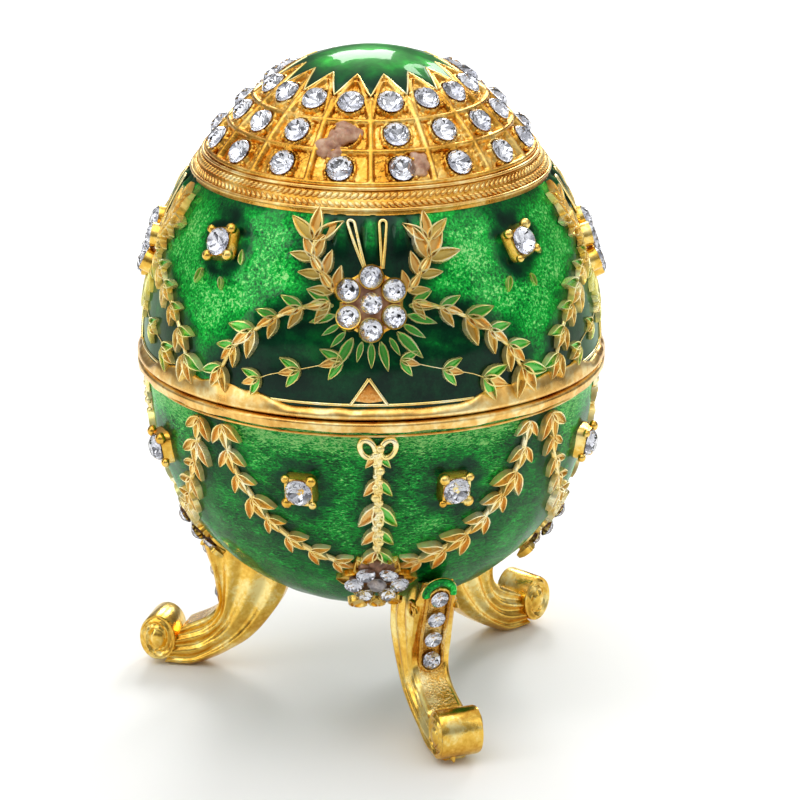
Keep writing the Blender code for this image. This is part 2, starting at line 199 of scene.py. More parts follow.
def grid_faces(rows, columns, wrap=True, ring=False, offset=0, flip=False):
    """Quads of a grid of points, closed round its columns where it wraps, and round its rows in a ring."""
    faces = []
    for i in range(rows if ring else rows - 1):
        here, there = offset + i * columns, offset + (i + 1) % rows * columns
        for j in range(columns if wrap else columns - 1):
            k = (j + 1) % columns
            quad = (here + j, here + k, there + k, there + j)
            faces.append(quad[::-1] if flip else quad)
    return faces


def solid_of_revolution(levels):
    """Points and faces of rings closed by a fan at each end. levels is an array (rows, columns, 3)."""
    rows, columns = levels.shape[:2]
    points = levels.reshape(-1, 3)
    faces = grid_faces(rows, columns)
    ends = np.stack([levels[0].mean(0), levels[-1].mean(0)])
    points = np.concatenate([points, ends])
    first, last = rows * columns, rows * columns + 1
    for j in range(columns):
        k = (j + 1) % columns
        faces.append((first, k, j))
        faces.append((last, (rows - 1) * columns + j, (rows - 1) * columns + k))
    return points, faces


def tube(path, radius, sides=8, closed=False):
    """Points and faces of a round wire along points in millimetres."""
    path = np.asarray(path, float)
    radius = np.broadcast_to(radius, len(path))
    ahead = np.roll(path, -1, 0) - np.roll(path, 1, 0)
    if not closed:
        ahead[0], ahead[-1] = path[1] - path[0], path[-1] - path[-2]
    ahead /= np.linalg.norm(ahead, axis=1)[:, None]
    out = path - (0, 0, SEAM)
    out -= (out * ahead).sum(1)[:, None] * ahead
    out /= np.linalg.norm(out, axis=1)[:, None]
    side = np.cross(ahead, out)
    angle = np.linspace(0, 2 * np.pi, sides, endpoint=False)
    rings = (path[:, None] + radius[:, None, None] *
             (out[:, None] * np.cos(angle)[None, :, None] + side[:, None] * np.sin(angle)[None, :, None]))
    points = rings.reshape(-1, 3)
    faces = grid_faces(len(path), sides, ring=closed)
    if not closed:
        faces.append(tuple(range(sides))[::-1])
        faces.append(tuple(range(len(points) - sides, len(points))))
    return points, faces


def gather(parts):
    """Several (points, faces) lists as one."""
    points, faces, start = [], [], 0
    for each_points, each_faces in parts:
        points.append(each_points)
        faces += [tuple(start + i for i in face) for face in each_faces]
        start += len(each_points)
    return np.concatenate(points), faces


def placed(shape, matrix):
    """A (points, faces) shape moved by a matrix in millimetres."""
    points, faces = shape
    turn = np.array(matrix)
    return points @ turn[:3, :3].T + turn[:3, 3], faces


def flat_ring(degrees, radius, height):
    """Points round the Z axis. The radius and the height are numbers or arrays."""
    angle = np.radians(degrees)
    return np.stack(np.broadcast_arrays(radius * np.cos(angle), radius * np.sin(angle), height), axis=-1)


def turned_shape(degrees, profile):
    """A shape turned on the Z axis from a profile of (radius, height) places."""
    return solid_of_revolution(np.array([flat_ring(degrees, radius, height) for radius, height in profile]))


def wave(low, high, x):
    """A smooth step from 0 at low to 1 at high."""
    t = np.clip((x - low) / (high - low), 0, 1)
    return t * t * (3 - 2 * t)


def round_ridge(away, half_width):
    """Height, from 0 to 1, of a round ridge at a distance from its middle line."""
    return np.sqrt(np.clip(1 - (away / half_width) ** 2, 0, 1))


def through(stops, count):
    """A smooth curve of count points through the stops (Catmull-Rom)."""
    stops = np.asarray(stops, float)
    padded = np.concatenate([[2 * stops[0] - stops[1]], stops, [2 * stops[-1] - stops[-2]]])
    places = np.linspace(0, len(stops) - 1, count)
    index = np.minimum(places.astype(int), len(stops) - 2)
    t = (places - index)[:, None]
    a, b, c, d = (padded[index + k] for k in range(4))
    square, cube = 2 * a - 5 * b + 4 * c - d, 3 * b - a - 3 * c + d
    return 0.5 * (2 * b + (c - a) * t + square * t ** 2 + cube * t ** 3)


# Materials

def feed(tree, node, inputs):
    """Give inputs of a node a value, or a socket to link from."""
    for socket, value in inputs.items():
        if isinstance(value, bpy.types.NodeSocket):
            tree.links.new(value, node.inputs[socket])
        else:
            node.inputs[socket].default_value = value


def add(tree, kind, inputs=None, out=0, **settings):
    """Add a node with its settings and inputs. Returns one of its outputs, or the node where out is None."""
    made = tree.nodes.new(kind)
    for key, value in settings.items():
        setattr(made, key, value)
    feed(tree, made, inputs or {})
    return made if out is None else made.outputs[out]


def ramp(tree, factor, stops):
    """A colour ramp through (place, hex colour) stops."""
    made = add(tree, "ShaderNodeValToRGB", {0: factor}, out=None)
    elements = made.color_ramp.elements
    while len(elements) < len(stops):
        elements.new(0.5)
    for element, (place, colour) in zip(elements, stops):
        element.position = place
        element.color = linear(colour)
    return made.outputs["Color"]


def material(name):
    """An empty node material, its tree and its Principled shader."""
    made = bpy.data.materials.new(name)
    made.use_nodes = True
    return made, made.node_tree, made.node_tree.nodes["Principled BSDF"]


def per_mm(size):
    """Texture scale, in metres, for features of a size in millimetres."""
    return 1 / (size * MM)


GREENS = ((0.0, "#a6ee90"), (0.07, "#3ee062"), (0.22, "#16c040"), (0.38, "#0a8c32"), (0.54, "#055c27"),
          (0.70, "#033a20"), (0.90, "#022016"))


def enamel_material(name, grain_mm, stretch, streak, lines, grain_deep, strength, fades):
    """Translucent green enamel fired over a stippled metal ground: the ground glitters through a glassy coat,
    bright where the enamel is thin and near black where it lies deep against the relief. The depth attribute
    also carries painted shade and painted highlights, which darken and lighten the green the same way. Pale
    lines run over the ridges of the ground where the enamel is thinnest."""
    made, tree, shader = material(name)
    place = add(tree, "ShaderNodeTexCoord", out="Object")
    laid = add(tree, "ShaderNodeMapping", {"Vector": place, "Scale": (1, 1, stretch)}, out="Vector")
    stipple = add(tree, "ShaderNodeTexNoise", {"Vector": laid, "Scale": per_mm(grain_mm), "Detail": 4.0,
                                               "Roughness": 0.7, "Distortion": streak})
    bent = add(tree, "ShaderNodeTexNoise", {"Vector": laid, "Scale": per_mm(1.1)}, out="Color")
    shifted = add(tree, "ShaderNodeVectorMath", {0: bent, 1: (0.7 * MM,) * 3, 2: laid},
                  operation="MULTIPLY_ADD")
    net = add(tree, "ShaderNodeTexVoronoi", {"Vector": shifted, "Scale": per_mm(grain_mm * 1.7)},
              feature="DISTANCE_TO_EDGE")
    line = add(tree, "ShaderNodeMapRange", {0: net, 1: 0.02, 2: 0.12, 3: 1.0, 4: 0.0})
    cloud = add(tree, "ShaderNodeTexNoise", {"Vector": place, "Scale": per_mm(3.2), "Detail": 4.0,
                                             "Roughness": 0.6})
    # The depth attribute also carries painted shadow round the stone settings and painted highlights on the
    # lid, so these darken and lighten the green too
    depth = add(tree, "ShaderNodeAttribute", attribute_name="depth", out="Fac")
    shallow = add(tree, "ShaderNodeMapRange", {0: depth, 1: fades[0], 2: fades[1], 3: 1.0, 4: 0.12})
    fine = add(tree, "ShaderNodeMath", {0: stipple, 1: -0.5}, operation="ADD")
    wide = add(tree, "ShaderNodeMath", {0: cloud, 1: -0.5}, operation="ADD")
    coarse = add(tree, "ShaderNodeMath", {0: fine, 1: strength}, operation="MULTIPLY")
    drawn = add(tree, "ShaderNodeMath", {0: line, 1: -lines, 2: coarse}, operation="MULTIPLY_ADD")
    grain = add(tree, "ShaderNodeMath", {0: drawn, 1: shallow, 2: depth}, operation="MULTIPLY_ADD")
    varied = add(tree, "ShaderNodeMath", {0: wide, 1: 0.75, 2: grain}, operation="MULTIPLY_ADD")
    ground = add(tree, "ShaderNodeBump", {"Height": stipple, "Strength": shallow,
                                          "Distance": grain_deep * MM})
    flow = add(tree, "ShaderNodeTexNoise", {"Vector": place, "Scale": per_mm(2.2), "Detail": 1.0})
    skin = add(tree, "ShaderNodeBump", {"Height": flow, "Strength": 0.3, "Distance": 0.14 * MM})
    feed(tree, shader, {
        "Base Color": ramp(tree, varied, GREENS), "Normal": ground, "Metallic": 0.7, "Roughness": 0.34,
        "Specular IOR Level": 0.25, "Specular Tint": linear("#7fd79a"), "Coat Weight": 0.32,
        "Coat Roughness": 0.05, "Coat Normal": skin})
    return made


def gilt_material(name, low, middle, high, roughness, grain_mm, grain_deep):
    """Bright gold plating over cast metal: soft casting grain, darker and redder where it varies."""
    made, tree, shader = material(name)
    place = add(tree, "ShaderNodeTexCoord", out="Object")
    grain = add(tree, "ShaderNodeTexNoise", {"Vector": place, "Scale": per_mm(grain_mm), "Detail": 3.0,
                                             "Roughness": 0.6})
    cloud = add(tree, "ShaderNodeTexNoise", {"Vector": place, "Scale": per_mm(3.5), "Detail": 2.0})
    both = add(tree, "ShaderNodeMath", {0: grain, 1: 0.6, 2: cloud}, operation="MULTIPLY_ADD")
    rough = add(tree, "ShaderNodeMapRange", {0: cloud, 1: 0.3, 2: 0.7, 3: roughness * 0.75,
                                             4: roughness * 1.3})
    cast = add(tree, "ShaderNodeBump", {"Height": grain, "Strength": 1.0, "Distance": grain_deep * MM})
    feed(tree, shader, {"Base Color": ramp(tree, both, ((0.55, low), (0.8, middle), (1.05, high))),
                        "Metallic": 1.0, "Roughness": rough, "Normal": cast})
    return made


def leaf_material(gold):
    """Gilt leaves with bright rims. Their hollows keep an orange-brown gold as painted shade, or a wash of
    the green enamel that also tints the rims a little."""
    made = gold.copy()
    made.name = "gilt_leaf_washed_with_enamel"
    tree = made.node_tree
    shader = tree.nodes["Principled BSDF"]
    wash = add(tree, "ShaderNodeAttribute", attribute_name="leaf_wash", out="Fac")
    hollow = add(tree, "ShaderNodeAttribute", attribute_name="hollow", out="Fac")
    gilt = shader.inputs["Base Color"].links[0].from_socket
    on_rim = add(tree, "ShaderNodeMath", {0: wash, 1: 0.35}, operation="MULTIPLY")
    rim = add(tree, "ShaderNodeMix", {0: on_rim, 6: gilt, 7: linear("#c8e07c")}, data_type="RGBA", out=2)
    # Hollows without enamel take a darker orange gold: painted shade in the leaf's hollows
    sunk = add(tree, "ShaderNodeMix", {0: wash, 6: linear("#e8b25a"), 7: linear("#3fbf48")},
               data_type="RGBA", out=2)
    leaf = add(tree, "ShaderNodeMix", {0: hollow, 6: rim, 7: sunk}, data_type="RGBA", out=2)
    feed(tree, shader, {"Base Color": leaf, "Metallic": 0.7})
    return made


def glass_material():
    """Clear cut glass: lead crystal is denser than window glass, so its facets flash more."""
    made, tree, shader = material("clear_cut_glass")
    feed(tree, shader, {"Base Color": linear("#fbfcff"), "Roughness": 0.0, "IOR": 1.6,
                        "Transmission Weight": 1.0})
    return made


def foil_material(name, dark, bright, roughness):
    """The silver foil on the back of a stone, which throws the light back out through the facets."""
    made, tree, shader = material(name)
    place = add(tree, "ShaderNodeTexCoord", out="Object")
    worn = add(tree, "ShaderNodeTexNoise", {"Vector": place, "Scale": per_mm(1.2), "Detail": 2.0})
    feed(tree, shader, {"Base Color": ramp(tree, worn, ((0.35, dark), (0.6, bright))), "Metallic": 1.0,
                        "Roughness": roughness})
    return made


def adhesive_material(name, dark, middle, pale):
    """Dried adhesive between the stones: brown, waxy and a little lumpy."""
    made, tree, shader = material(name)
    place = add(tree, "ShaderNodeTexCoord", out="Object")
    lumps = add(tree, "ShaderNodeTexNoise", {"Vector": place, "Scale": per_mm(0.9), "Detail": 3.0})
    bump = add(tree, "ShaderNodeBump", {"Height": lumps, "Strength": 0.6, "Distance": 0.15 * MM})
    feed(tree, shader, {"Base Color": ramp(tree, lumps, ((0.3, dark), (0.5, middle), (0.72, pale))),
                        "Normal": bump, "Roughness": 0.38, "Subsurface Weight": 0.1,
                        "Subsurface Scale": 0.4 * MM})
    return made


# Lid panels: a fine sparkle, like sugar under green glass
STIPPLED_ENAMEL = enamel_material("enamel_over_stipple", grain_mm=0.30, stretch=1.0, streak=0.4, lines=0.08,
                                  grain_deep=0.16, strength=2.1, fades=(0.20, 0.66))
# Base panels: level brush strokes that ripple the green
BRUSHED_ENAMEL = enamel_material("enamel_over_brushed_ground", grain_mm=0.70, stretch=3.4, streak=1.8,
                                 lines=0.18, grain_deep=0.45, strength=2.8, fades=(0.34, 0.85))
# Star: a smooth deep green pool that mirrors the light above
STAR_ENAMEL = enamel_material("glassy_star_enamel", grain_mm=0.9, stretch=1.0, streak=0.4, lines=0.0,
                              grain_deep=0.02, strength=0.6, fades=(0.18, 0.6))
# Legs and settings: bright, smooth and yellow
GILT = gilt_material("bright_gilt_casting", "#cf9632", "#edc257", "#fce79a", roughness=0.24,
                     grain_mm=0.5, grain_deep=0.02)
# Rims and rope: softer and browner, where hands have rubbed the plating
GILT_RIM = gilt_material("rubbed_gilt_rim", "#d09848", "#ebbf6c", "#fae5a6", roughness=0.30,
                         grain_mm=0.7, grain_deep=0.015)
# Trellis: a rough casting, orange in its pits
GILT_CAGE = gilt_material("coarse_gilt_casting", "#bd8026", "#e6ad48", "#f9d680", roughness=0.30,
                          grain_mm=0.4, grain_deep=0.05)
# Faces of the legs: punched all over, so they glitter in points
GILT_FACE = gilt_material("stippled_gilt", "#a86e22", "#e2b04e", "#ffecac", roughness=0.22,
                          grain_mm=0.26, grain_deep=0.11)
# Wires and leaves: pale, thin and bright against the dark green
GILT_PALE = gilt_material("pale_gilt_leaf", "#f0cc70", "#fce69a", "#fff8d0", roughness=0.22,
                          grain_mm=0.6, grain_deep=0.015)
GILT_LEAF = leaf_material(GILT_PALE)
# Gables: a matt orange ground inside bright wires
GILT_GABLE = gilt_material("orange_stippled_gilt", "#bf6a26", "#e09645", "#f5ca80", roughness=0.36,
                           grain_mm=0.25, grain_deep=0.07)
GLASS = glass_material()
# Backs of the stones: mirror bright, but grey and blind where the foil has gone
FOIL = foil_material("silver_foil_back", "#b9bac2", "#f2f3f7", 0.05)
DULLED_FOIL = foil_material("dulled_foil_back", "#706a70", "#c2b8b4", 0.30)
# Glue: pinkish tan on the lid, aged to dark brown round the lower rosettes
GLUE = adhesive_material("dried_adhesive", "#8f5f48", "#b98a6d", "#d9b79a")
OLD_GLUE = adhesive_material("old_brown_adhesive", "#4e3322", "#7a5238", "#a5795a")


# Small parts set on points, and garlands that follow a route

def new_tree(name, inputs):
    """A Geometry Nodes tree with named inputs and one result. Returns it and the sockets of its inputs."""
    tree = bpy.data.node_groups.new(name, "GeometryNodeTree")
    tree.interface.new_socket("Points", in_out="INPUT", socket_type="NodeSocketGeometry")
    for label, kind in inputs:
        tree.interface.new_socket(label, in_out="INPUT", socket_type="NodeSocket" + kind)
    tree.interface.new_socket("Result", in_out="OUTPUT", socket_type="NodeSocketGeometry")
    return tree, tree.nodes.new("NodeGroupInput").outputs


def named(tree, attribute, kind):
    """A named attribute of the points."""
    return add(tree, "GeometryNodeInputNamedAttribute", {"Name": attribute}, data_type=kind)


def varied_size(tree, given):
    """Each point's size, with a little random difference."""
    low = add(tree, "ShaderNodeMath", {0: 1.0, 1: given["Size spread"]}, operation="SUBTRACT")
    high = add(tree, "ShaderNodeMath", {0: 1.0, 1: given["Size spread"]}, operation="ADD")
    chance = add(tree, "FunctionNodeRandomValue", {2: low, 3: high, "Seed": given["Seed"]}, out=1,
                 data_type="FLOAT")
    return add(tree, "ShaderNodeMath", {0: chance, 1: named(tree, "size", "FLOAT")},
               operation="MULTIPLY")


def close_tree(tree, geometry, given):
    """Realize the instances, give them their finishes and hand them out."""
    real = add(tree, "GeometryNodeRealizeInstances", {"Geometry": geometry})
    front = add(tree, "GeometryNodeSetMaterial", {"Geometry": real, "Material": given["Finish"]})
    on_back = named(tree, "back", "BOOLEAN")
    both = add(tree, "GeometryNodeSetMaterial", {"Geometry": front, "Selection": on_back,
                                                 "Material": given["Back finish"]})
    add(tree, "NodeGroupOutput", {"Result": both}, out=None)
    return tree


def small_parts_tree():
    """One small part on every point, standing along outward and turned to upward."""
    tree, given = new_tree("small parts on points", (
        ("Part", "Object"), ("Finish", "Material"), ("Back finish", "Material"), ("Size spread", "Float"),
        ("Seed", "Int")))
    turn = add(tree, "FunctionNodeAxesToRotation", {
        "Primary Axis": named(tree, "outward", "FLOAT_VECTOR"),
        "Secondary Axis": named(tree, "upward", "FLOAT_VECTOR")}, primary_axis="Z", secondary_axis="Y")
    part = add(tree, "GeometryNodeObjectInfo", {"Object": given["Part"]}, out="Geometry")
    size = varied_size(tree, given)
    set_out = add(tree, "GeometryNodeInstanceOnPoints", {"Points": given["Points"], "Instance": part,
                                                         "Rotation": turn, "Scale": size})
    return close_tree(tree, set_out, given)


def garland_tree():
    """A stem along each route with a pair of leaves and a middle leaf at every step."""
    tree, given = new_tree("leaves along a route", (
        ("Leaf", "Object"), ("Finish", "Material"), ("Back finish", "Material"), ("Leaf step", "Float"),
        ("Leaf angle", "Float"), ("Stem radius", "Float"), ("Wash left", "Float"), ("Wash right", "Float"),
        ("Wash middle", "Float"), ("Size spread", "Float"), ("Seed", "Int")))
    curve = add(tree, "GeometryNodeMeshToCurve", {"Mesh": given["Points"]})
    steps = add(tree, "GeometryNodeResampleCurve", {"Curve": curve, "Length": given["Leaf step"]},
                mode="LENGTH")
    outward = named(tree, "outward", "FLOAT_VECTOR")
    forward = named(tree, "upward", "FLOAT_VECTOR")
    leaf = add(tree, "GeometryNodeObjectInfo", {"Object": given["Leaf"]}, out="Geometry")
    size = varied_size(tree, given)
    grown = []
    for label, side in (("Wash left", 1.0), ("Wash middle", 0.0), ("Wash right", -1.0)):
        angle = add(tree, "ShaderNodeMath", {0: given["Leaf angle"], 1: side}, operation="MULTIPLY")
        aside = add(tree, "FunctionNodeAxisAngleToRotation", {"Axis": outward, "Angle": angle})
        along = add(tree, "FunctionNodeRotateVector", {"Vector": forward, "Rotation": aside})
        turn = add(tree, "FunctionNodeAxesToRotation", {"Primary Axis": outward, "Secondary Axis": along},
                   primary_axis="Z", secondary_axis="Y")
        leaves = add(tree, "GeometryNodeInstanceOnPoints", {"Points": steps, "Instance": leaf,
                                                            "Rotation": turn, "Scale": size})
        grown.append(add(tree, "GeometryNodeStoreNamedAttribute", {
            "Geometry": leaves, "Name": "leaf_wash", "Value": given[label]}, data_type="FLOAT",
            domain="INSTANCE"))
    ring = add(tree, "GeometryNodeCurvePrimitiveCircle", {"Resolution": 6, "Radius": given["Stem radius"]})
    stem = add(tree, "GeometryNodeCurveToMesh", {"Curve": curve, "Profile Curve": ring,
                                                 "Fill Caps": True})
    joined = add(tree, "GeometryNodeJoinGeometry", out=None)
    for geometry in (stem, *grown):
        tree.links.new(geometry, joined.inputs[0])
    return close_tree(tree, joined.outputs[0], given)


SMALL_PARTS = small_parts_tree()
GARLAND = garland_tree()


TEMPLATES = []


def template(name, points, faces, back=None, smooth=True, values=None):
    """A small part that the trees copy, with the faces of its back marked. It leaves the scene in the end."""
    made = piece(name, points, faces, smooth=smooth, values=values)
    if back is not None:
        marks = made.data.attributes.new("back", "BOOLEAN", "FACE")
        marks.data.foreach_set("value", np.asarray(back, bool))
    made.hide_render = True
    TEMPLATES.append(made)
    return made


def grown(name, tree, start, inputs):
    """Run a tree on a mesh of points and keep the result as a plain mesh."""
    carrier = bpy.data.objects.new(name, start)
    bpy.context.scene.collection.objects.link(carrier)
    modifier = carrier.modifiers.new("tree", "NODES")
    modifier.node_group = tree
    for label, value in inputs.items():
        modifier[tree.interface.items_tree[label].identifier] = value
    evaluated = carrier.evaluated_get(bpy.context.evaluated_depsgraph_get())
    mesh = bpy.data.meshes.new_from_object(evaluated)
    carrier.modifiers.clear()
    carrier.data = mesh
    bpy.data.meshes.remove(start)
    return carrier


def points_mesh(name, places, outward, upward, size, edges=()):
    """A mesh of bare points in millimetres that carries what the trees read."""
    mesh = bpy.data.meshes.new(name)
    places = np.asarray(places, float)
    mesh.from_pydata([tuple(p) for p in places * MM], [tuple(e) for e in edges], [])
    for attribute, vectors in (("outward", outward), ("upward", upward)):
        stored = mesh.attributes.new(attribute, "FLOAT_VECTOR", "POINT")
        stored.data.foreach_set("vector", np.asarray(vectors, np.float32).ravel())
    stored = mesh.attributes.new("size", "FLOAT", "POINT")
    stored.data.foreach_set("value", np.broadcast_to(np.asarray(size, np.float32), len(places)).copy())
    return mesh


def set_out(name, part, spots, size, finish, back_finish=None, spread=0.0):
    """Small parts on a list of matrices in millimetres."""
    places = [m.translation[:] for m in spots]
    outward = [m.col[2][:3] for m in spots]
    upward = [m.col[1][:3] for m in spots]
    start = points_mesh(name, places, outward, upward, size)
    return grown(name, SMALL_PARTS, start, {
        "Part": part, "Finish": finish, "Back finish": back_finish or finish, "Size spread": spread,
        "Seed": SEED})


def on_route(half, stops, middle, side, count=24):
    """A smooth route of (azimuth, level) points over the egg from stops beside the middle of a quarter."""
    height = LID_HEIGHT if half == "lid" else BASE_DEPTH
    curve = through(stops, count)
    return np.stack([middle + side * curve[:, 0], curve[:, 1] * height], axis=1)


LEAF_SPREAD = 0.22


def garland_points(name, half, stops, side, lift, sizes):
    """The points of one garland in all four quarters, joined along each route."""
    places, outward, forward, size, edges = [], [], [], [], []
    for middle in MIDDLES[half]:
        route = on_route(half, stops, middle, side)
        at = on_egg(half, route[:, 0], route[:, 1], lift)
        out = on_egg(half, route[:, 0], route[:, 1], lift + 1.0) - at
        ahead = np.gradient(at, axis=0)
        first = len(places)
        edges += [(first + k, first + k + 1) for k in range(len(at) - 1)]
        places += list(at)
        outward += list(out / np.linalg.norm(out, axis=1)[:, None])
        forward += list(ahead / np.linalg.norm(ahead, axis=1)[:, None])
        size += list(np.linspace(*sizes, len(at)))
    return points_mesh(name, places, outward, forward, size, edges)


def garlands(name, half, stops, step, angle, stem, washes, lift, sizes, sides=(-1, 1)):
    """Garlands to both sides of each quarter. A wash says how much enamel lies in the outer, middle and inner
    leaves, and the sizes run from foot to tip."""
    for side in sides:
        left, middle_wash, right = washes if side > 0 else washes[::-1]
        settle(grown(f"{name}_{'left' if side < 0 else 'right'}", GARLAND,
                     garland_points(name, half, stops, side, lift, sizes), {
            "Leaf": LEAF, "Finish": GILT_LEAF, "Back finish": GILT_LEAF, "Leaf step": step * MM,
            "Leaf angle": math.radians(angle), "Stem radius": stem * MM, "Wash left": left,
            "Wash middle": middle_wash, "Wash right": right, "Size spread": LEAF_SPREAD,
            "Seed": SEED + side}))


# Templates

def leaf_shape(length, width, rim, hollow):
    """A pointed leaf with a raised rim, a hollow on each side of its vein and a back sunk in the wall. Also
    tells how far each point lies in a hollow."""
    stations = (0.0, 0.16, 0.36, 0.58, 0.8, 1.0)
    spread = (0.20, 0.74, 1.0, 0.88, 0.50, 0.05)
    rise = (0.7, 1.0, 1.0, 0.95, 0.85, 0.5)
    sides = (-1.0, -0.88, -0.66, -0.50, 0.0, 0.50, 0.66, 0.88, 1.0)
    heights = {1.0: -0.3, 0.88: rim, 0.66: rim, 0.50: hollow, 0.0: hollow * 1.3}
    sunk = {1.0: 0.0, 0.88: 0.0, 0.66: 0.0, 0.50: 1.0, 0.0: 0.8}
    points, hollows = [], []
    for along, wide, high in zip(stations, spread, rise):
        for u in sides:
            z = heights[abs(u)]
            points.append((u * width / 2 * wide, along * length, z * high if z > 0 else z))
            hollows.append(sunk[abs(u)] * (0.1 < along < 0.9))
    rows, columns = len(stations), len(sides)
    faces = grid_faces(rows, columns, wrap=False)
    for row in range(rows - 1):
        first, second = row * columns, (row + 1) * columns
        faces.append((first, first + columns - 1, second + columns - 1, second))
    faces.append(tuple(range(columns)))
    faces.append(tuple((rows - 1) * columns + j for j in range(columns)))
    return np.array(points), faces, hollows


def leaf_template(name, length, width, rim, hollow, wash=None):
    """A leaf to copy, with its own wash of enamel where one is given."""
    points, faces, hollows = leaf_shape(length, width, rim, hollow)
    values = {"hollow": hollows}
    if wash is not None:
        values["leaf_wash"] = np.full(len(points), wash)
    return template(name, points, faces, values=values)


def chaton_shape(crown=0.46, table=0.55, belt=0.08, depth=0.42):
    """A round cut stone of radius 1: flat table, kites, small corner facets, belt and a shallow foiled back.
    Also tells which faces are the back."""
    eighth = around(8)
    girdle = flat_ring(around(16), 1.0, 0.0)
    near = np.arange(8) % 2 == 0
    points = np.concatenate([
        flat_ring(eighth, table, crown), flat_ring(eighth + 22.5, 0.80, crown * 0.56),
        girdle, girdle - (0, 0, belt),
        flat_ring(eighth, np.where(near, 0.36, 0.64), -belt - depth * np.where(near, 0.86, 0.46)),
        [(0.1, -0.07, -belt - depth)]])
    t, m, g, b, k, apex = 0, 8, 16, 32, 48, 56
    faces = [tuple(range(8))]
    for i in range(8):
        n, p = (i + 1) % 8, (i - 1) % 8
        faces += [(t + i, m + i, t + n), (t + i, m + p, g + 2 * i, m + i),
                  (m + i, g + 2 * i, g + 2 * i + 1), (m + i, g + 2 * i + 1, g + (2 * i + 2) % 16)]
    faces += [(g + i, b + i, b + (i + 1) % 16, g + (i + 1) % 16) for i in range(16)]
    front = len(faces)
    for i in range(8):
        n = (i + 1) % 8
        faces += [(b + 2 * i, k + i, b + 2 * i + 1), (b + 2 * i + 1, k + i, k + n),
                  (b + 2 * i + 1, k + n, b + (2 * i + 2) % 16), (k + i, apex, k + n)]
    return points, faces, [index >= front for index in range(len(faces))]


def dome_shape(rows, sides):
    """A round bead of radius 1 whose foot is sunk."""
    turns = np.degrees(np.linspace(0, 2 * np.pi, sides, endpoint=False))
    heights = np.linspace(-0.5, math.pi / 2, rows + 1)[:-1]
    return turned_shape(turns, [(math.cos(high), math.sin(high)) for high in heights])


def lozenge_shape(length, width, height):
    """A slanted bead of the rope band."""
    points, faces = dome_shape(4, 8)
    return points * (width / 2, length / 2, height), faces


def lump_shape():
    """A lump of dried glue, uneven and a little wider than tall."""
    points, faces = dome_shape(7, 18)
    uneven = 1 + 0.22 * np.sin(4.6 * points[:, 0] + 1.0) * np.cos(3.7 * points[:, 1] + 0.6)
    return points * uneven[:, None] * (1, 0.8, 0.55), faces


def cup_shape():
    """The thin round gilt cup of a rosette's stone, for a stone of radius 1."""
    profile = ((1.16, -1.1), (1.18, -0.15), (1.14, -0.02), (1.04, -0.03), (1.01, -0.25), (0.7, -0.62),
               (0.2, -0.68))
    return turned_shape(around(20), profile)


def square_cup_shape(width, height):
    """A square cup with a raised rim, tapering upwards."""
    turns = 45.0 + around(32)
    angle = np.radians(turns)
    squareness = (np.abs(np.cos(angle)) ** 5 + np.abs(np.sin(angle)) ** 5) ** (-1 / 5)
    profile = ((1.0, -0.7), (0.98, height * 0.35), (0.86, height * 0.8), (0.84, height), (0.70, height),
               (0.64, height * 0.5))
    return turned_shape(turns, [(reach * width / 2 * squareness, level) for reach, level in profile])


CHATON = template("chaton", *chaton_shape(), smooth=False)
GRAIN = template("grain", *dome_shape(4, 8))
CLAW = template("claw", *dome_shape(5, 10))
LUMP = template("lump", *lump_shape())
BEAD = template("rope_bead", *lozenge_shape(1.15, 0.50, 0.30))
CUP = template("round_cup", *cup_shape())
SQUARE_CUP = template("square_cup", *square_cup_shape(3.7, 1.0))
PETAL = template("petal", *leaf_shape(3.0, 3.0, 0.62, 0.25)[:2])
LEAF = leaf_template("leaf", 3.1, 1.45, 0.55, 0.10)
GREEN_LEAF = leaf_template("green_leaf", 3.1, 1.45, 0.55, 0.10, wash=0.85)
RAY = leaf_template("ray", 3.7, 1.30, 0.42, -0.10, wash=1.0)


def wires(name, runs, finish):
    """Round wires, each given as (points in millimetres, radius, closed)."""
    return piece(name, *gather([tube(path, radius, 8, closed) for path, radius, closed in runs]), finish)


def ring_on(half, level, lift):
    """A closed level ring of points on the egg."""
    azimuth = around(256)
    return on_egg(half, azimuth, np.full(len(azimuth), level), lift)


# The enamelled castings

# Routes beside a quarter's middle: degrees aside, and share of the half's height from the seam
LID_SWAG = ((10.5, 0.360), (20.5, 0.325), (29.0, 0.263), (35.5, 0.190), (38.5, 0.125))
LID_WREATH = ((9.5, 0.390), (13.2, 0.445), (16.0, 0.490), (16.0, 0.530))
LID_SPRIG = ((7.0, 0.190), (14.6, 0.162), (24.0, 0.130), (27.5, 0.112))
BASE_SWAG = ((41.0, 0.085), (38.5, 0.240), (34.5, 0.340), (30.0, 0.440), (22.5, 0.535), (12.5, 0.603))
BASE_DROP = ((0.0, 0.130), (0.0, 0.300), (0.0, 0.545))
UPPER_ROSETTE_AT = 0.358 * LID_HEIGHT
LOWER_ROSETTE_AT = 0.700 * BASE_DEPTH
LID_STONE_AT = 0.482 * LID_HEIGHT
LID_STONE_TURNS = (45.0, 135.0, 225.0, 315.0)
BASE_STONE_AT = 0.292 * BASE_DEPTH
BASE_STONE_TURNS = tuple(middle + side * 19.5 for middle in MIDDLES["base"] for side in (-1, 1))
ROPE_FROM = 0.618 * LID_HEIGHT
ROPE_TO = 0.665 * LID_HEIGHT
ROPE_BEADS = 170
LID_LINE_REACH = 25.0
LID_LINE_LEVEL = 1.65
SINGLE_STONE = 3.0
COLUMNS = 384


def aside(azimuth):
    """Degrees from the middle of the nearest quarter, with their sign."""
    return (np.asarray(azimuth, float) + 45) % 90 - 45


def distance_to(points, others):
    """Distance in millimetres from each point to the nearest of some others."""
    tree = kdtree.KDTree(len(others))
    for index, each in enumerate(others):
        tree.insert(each, index)
    tree.balance()
    return np.array([tree.find(p)[2] for p in points])


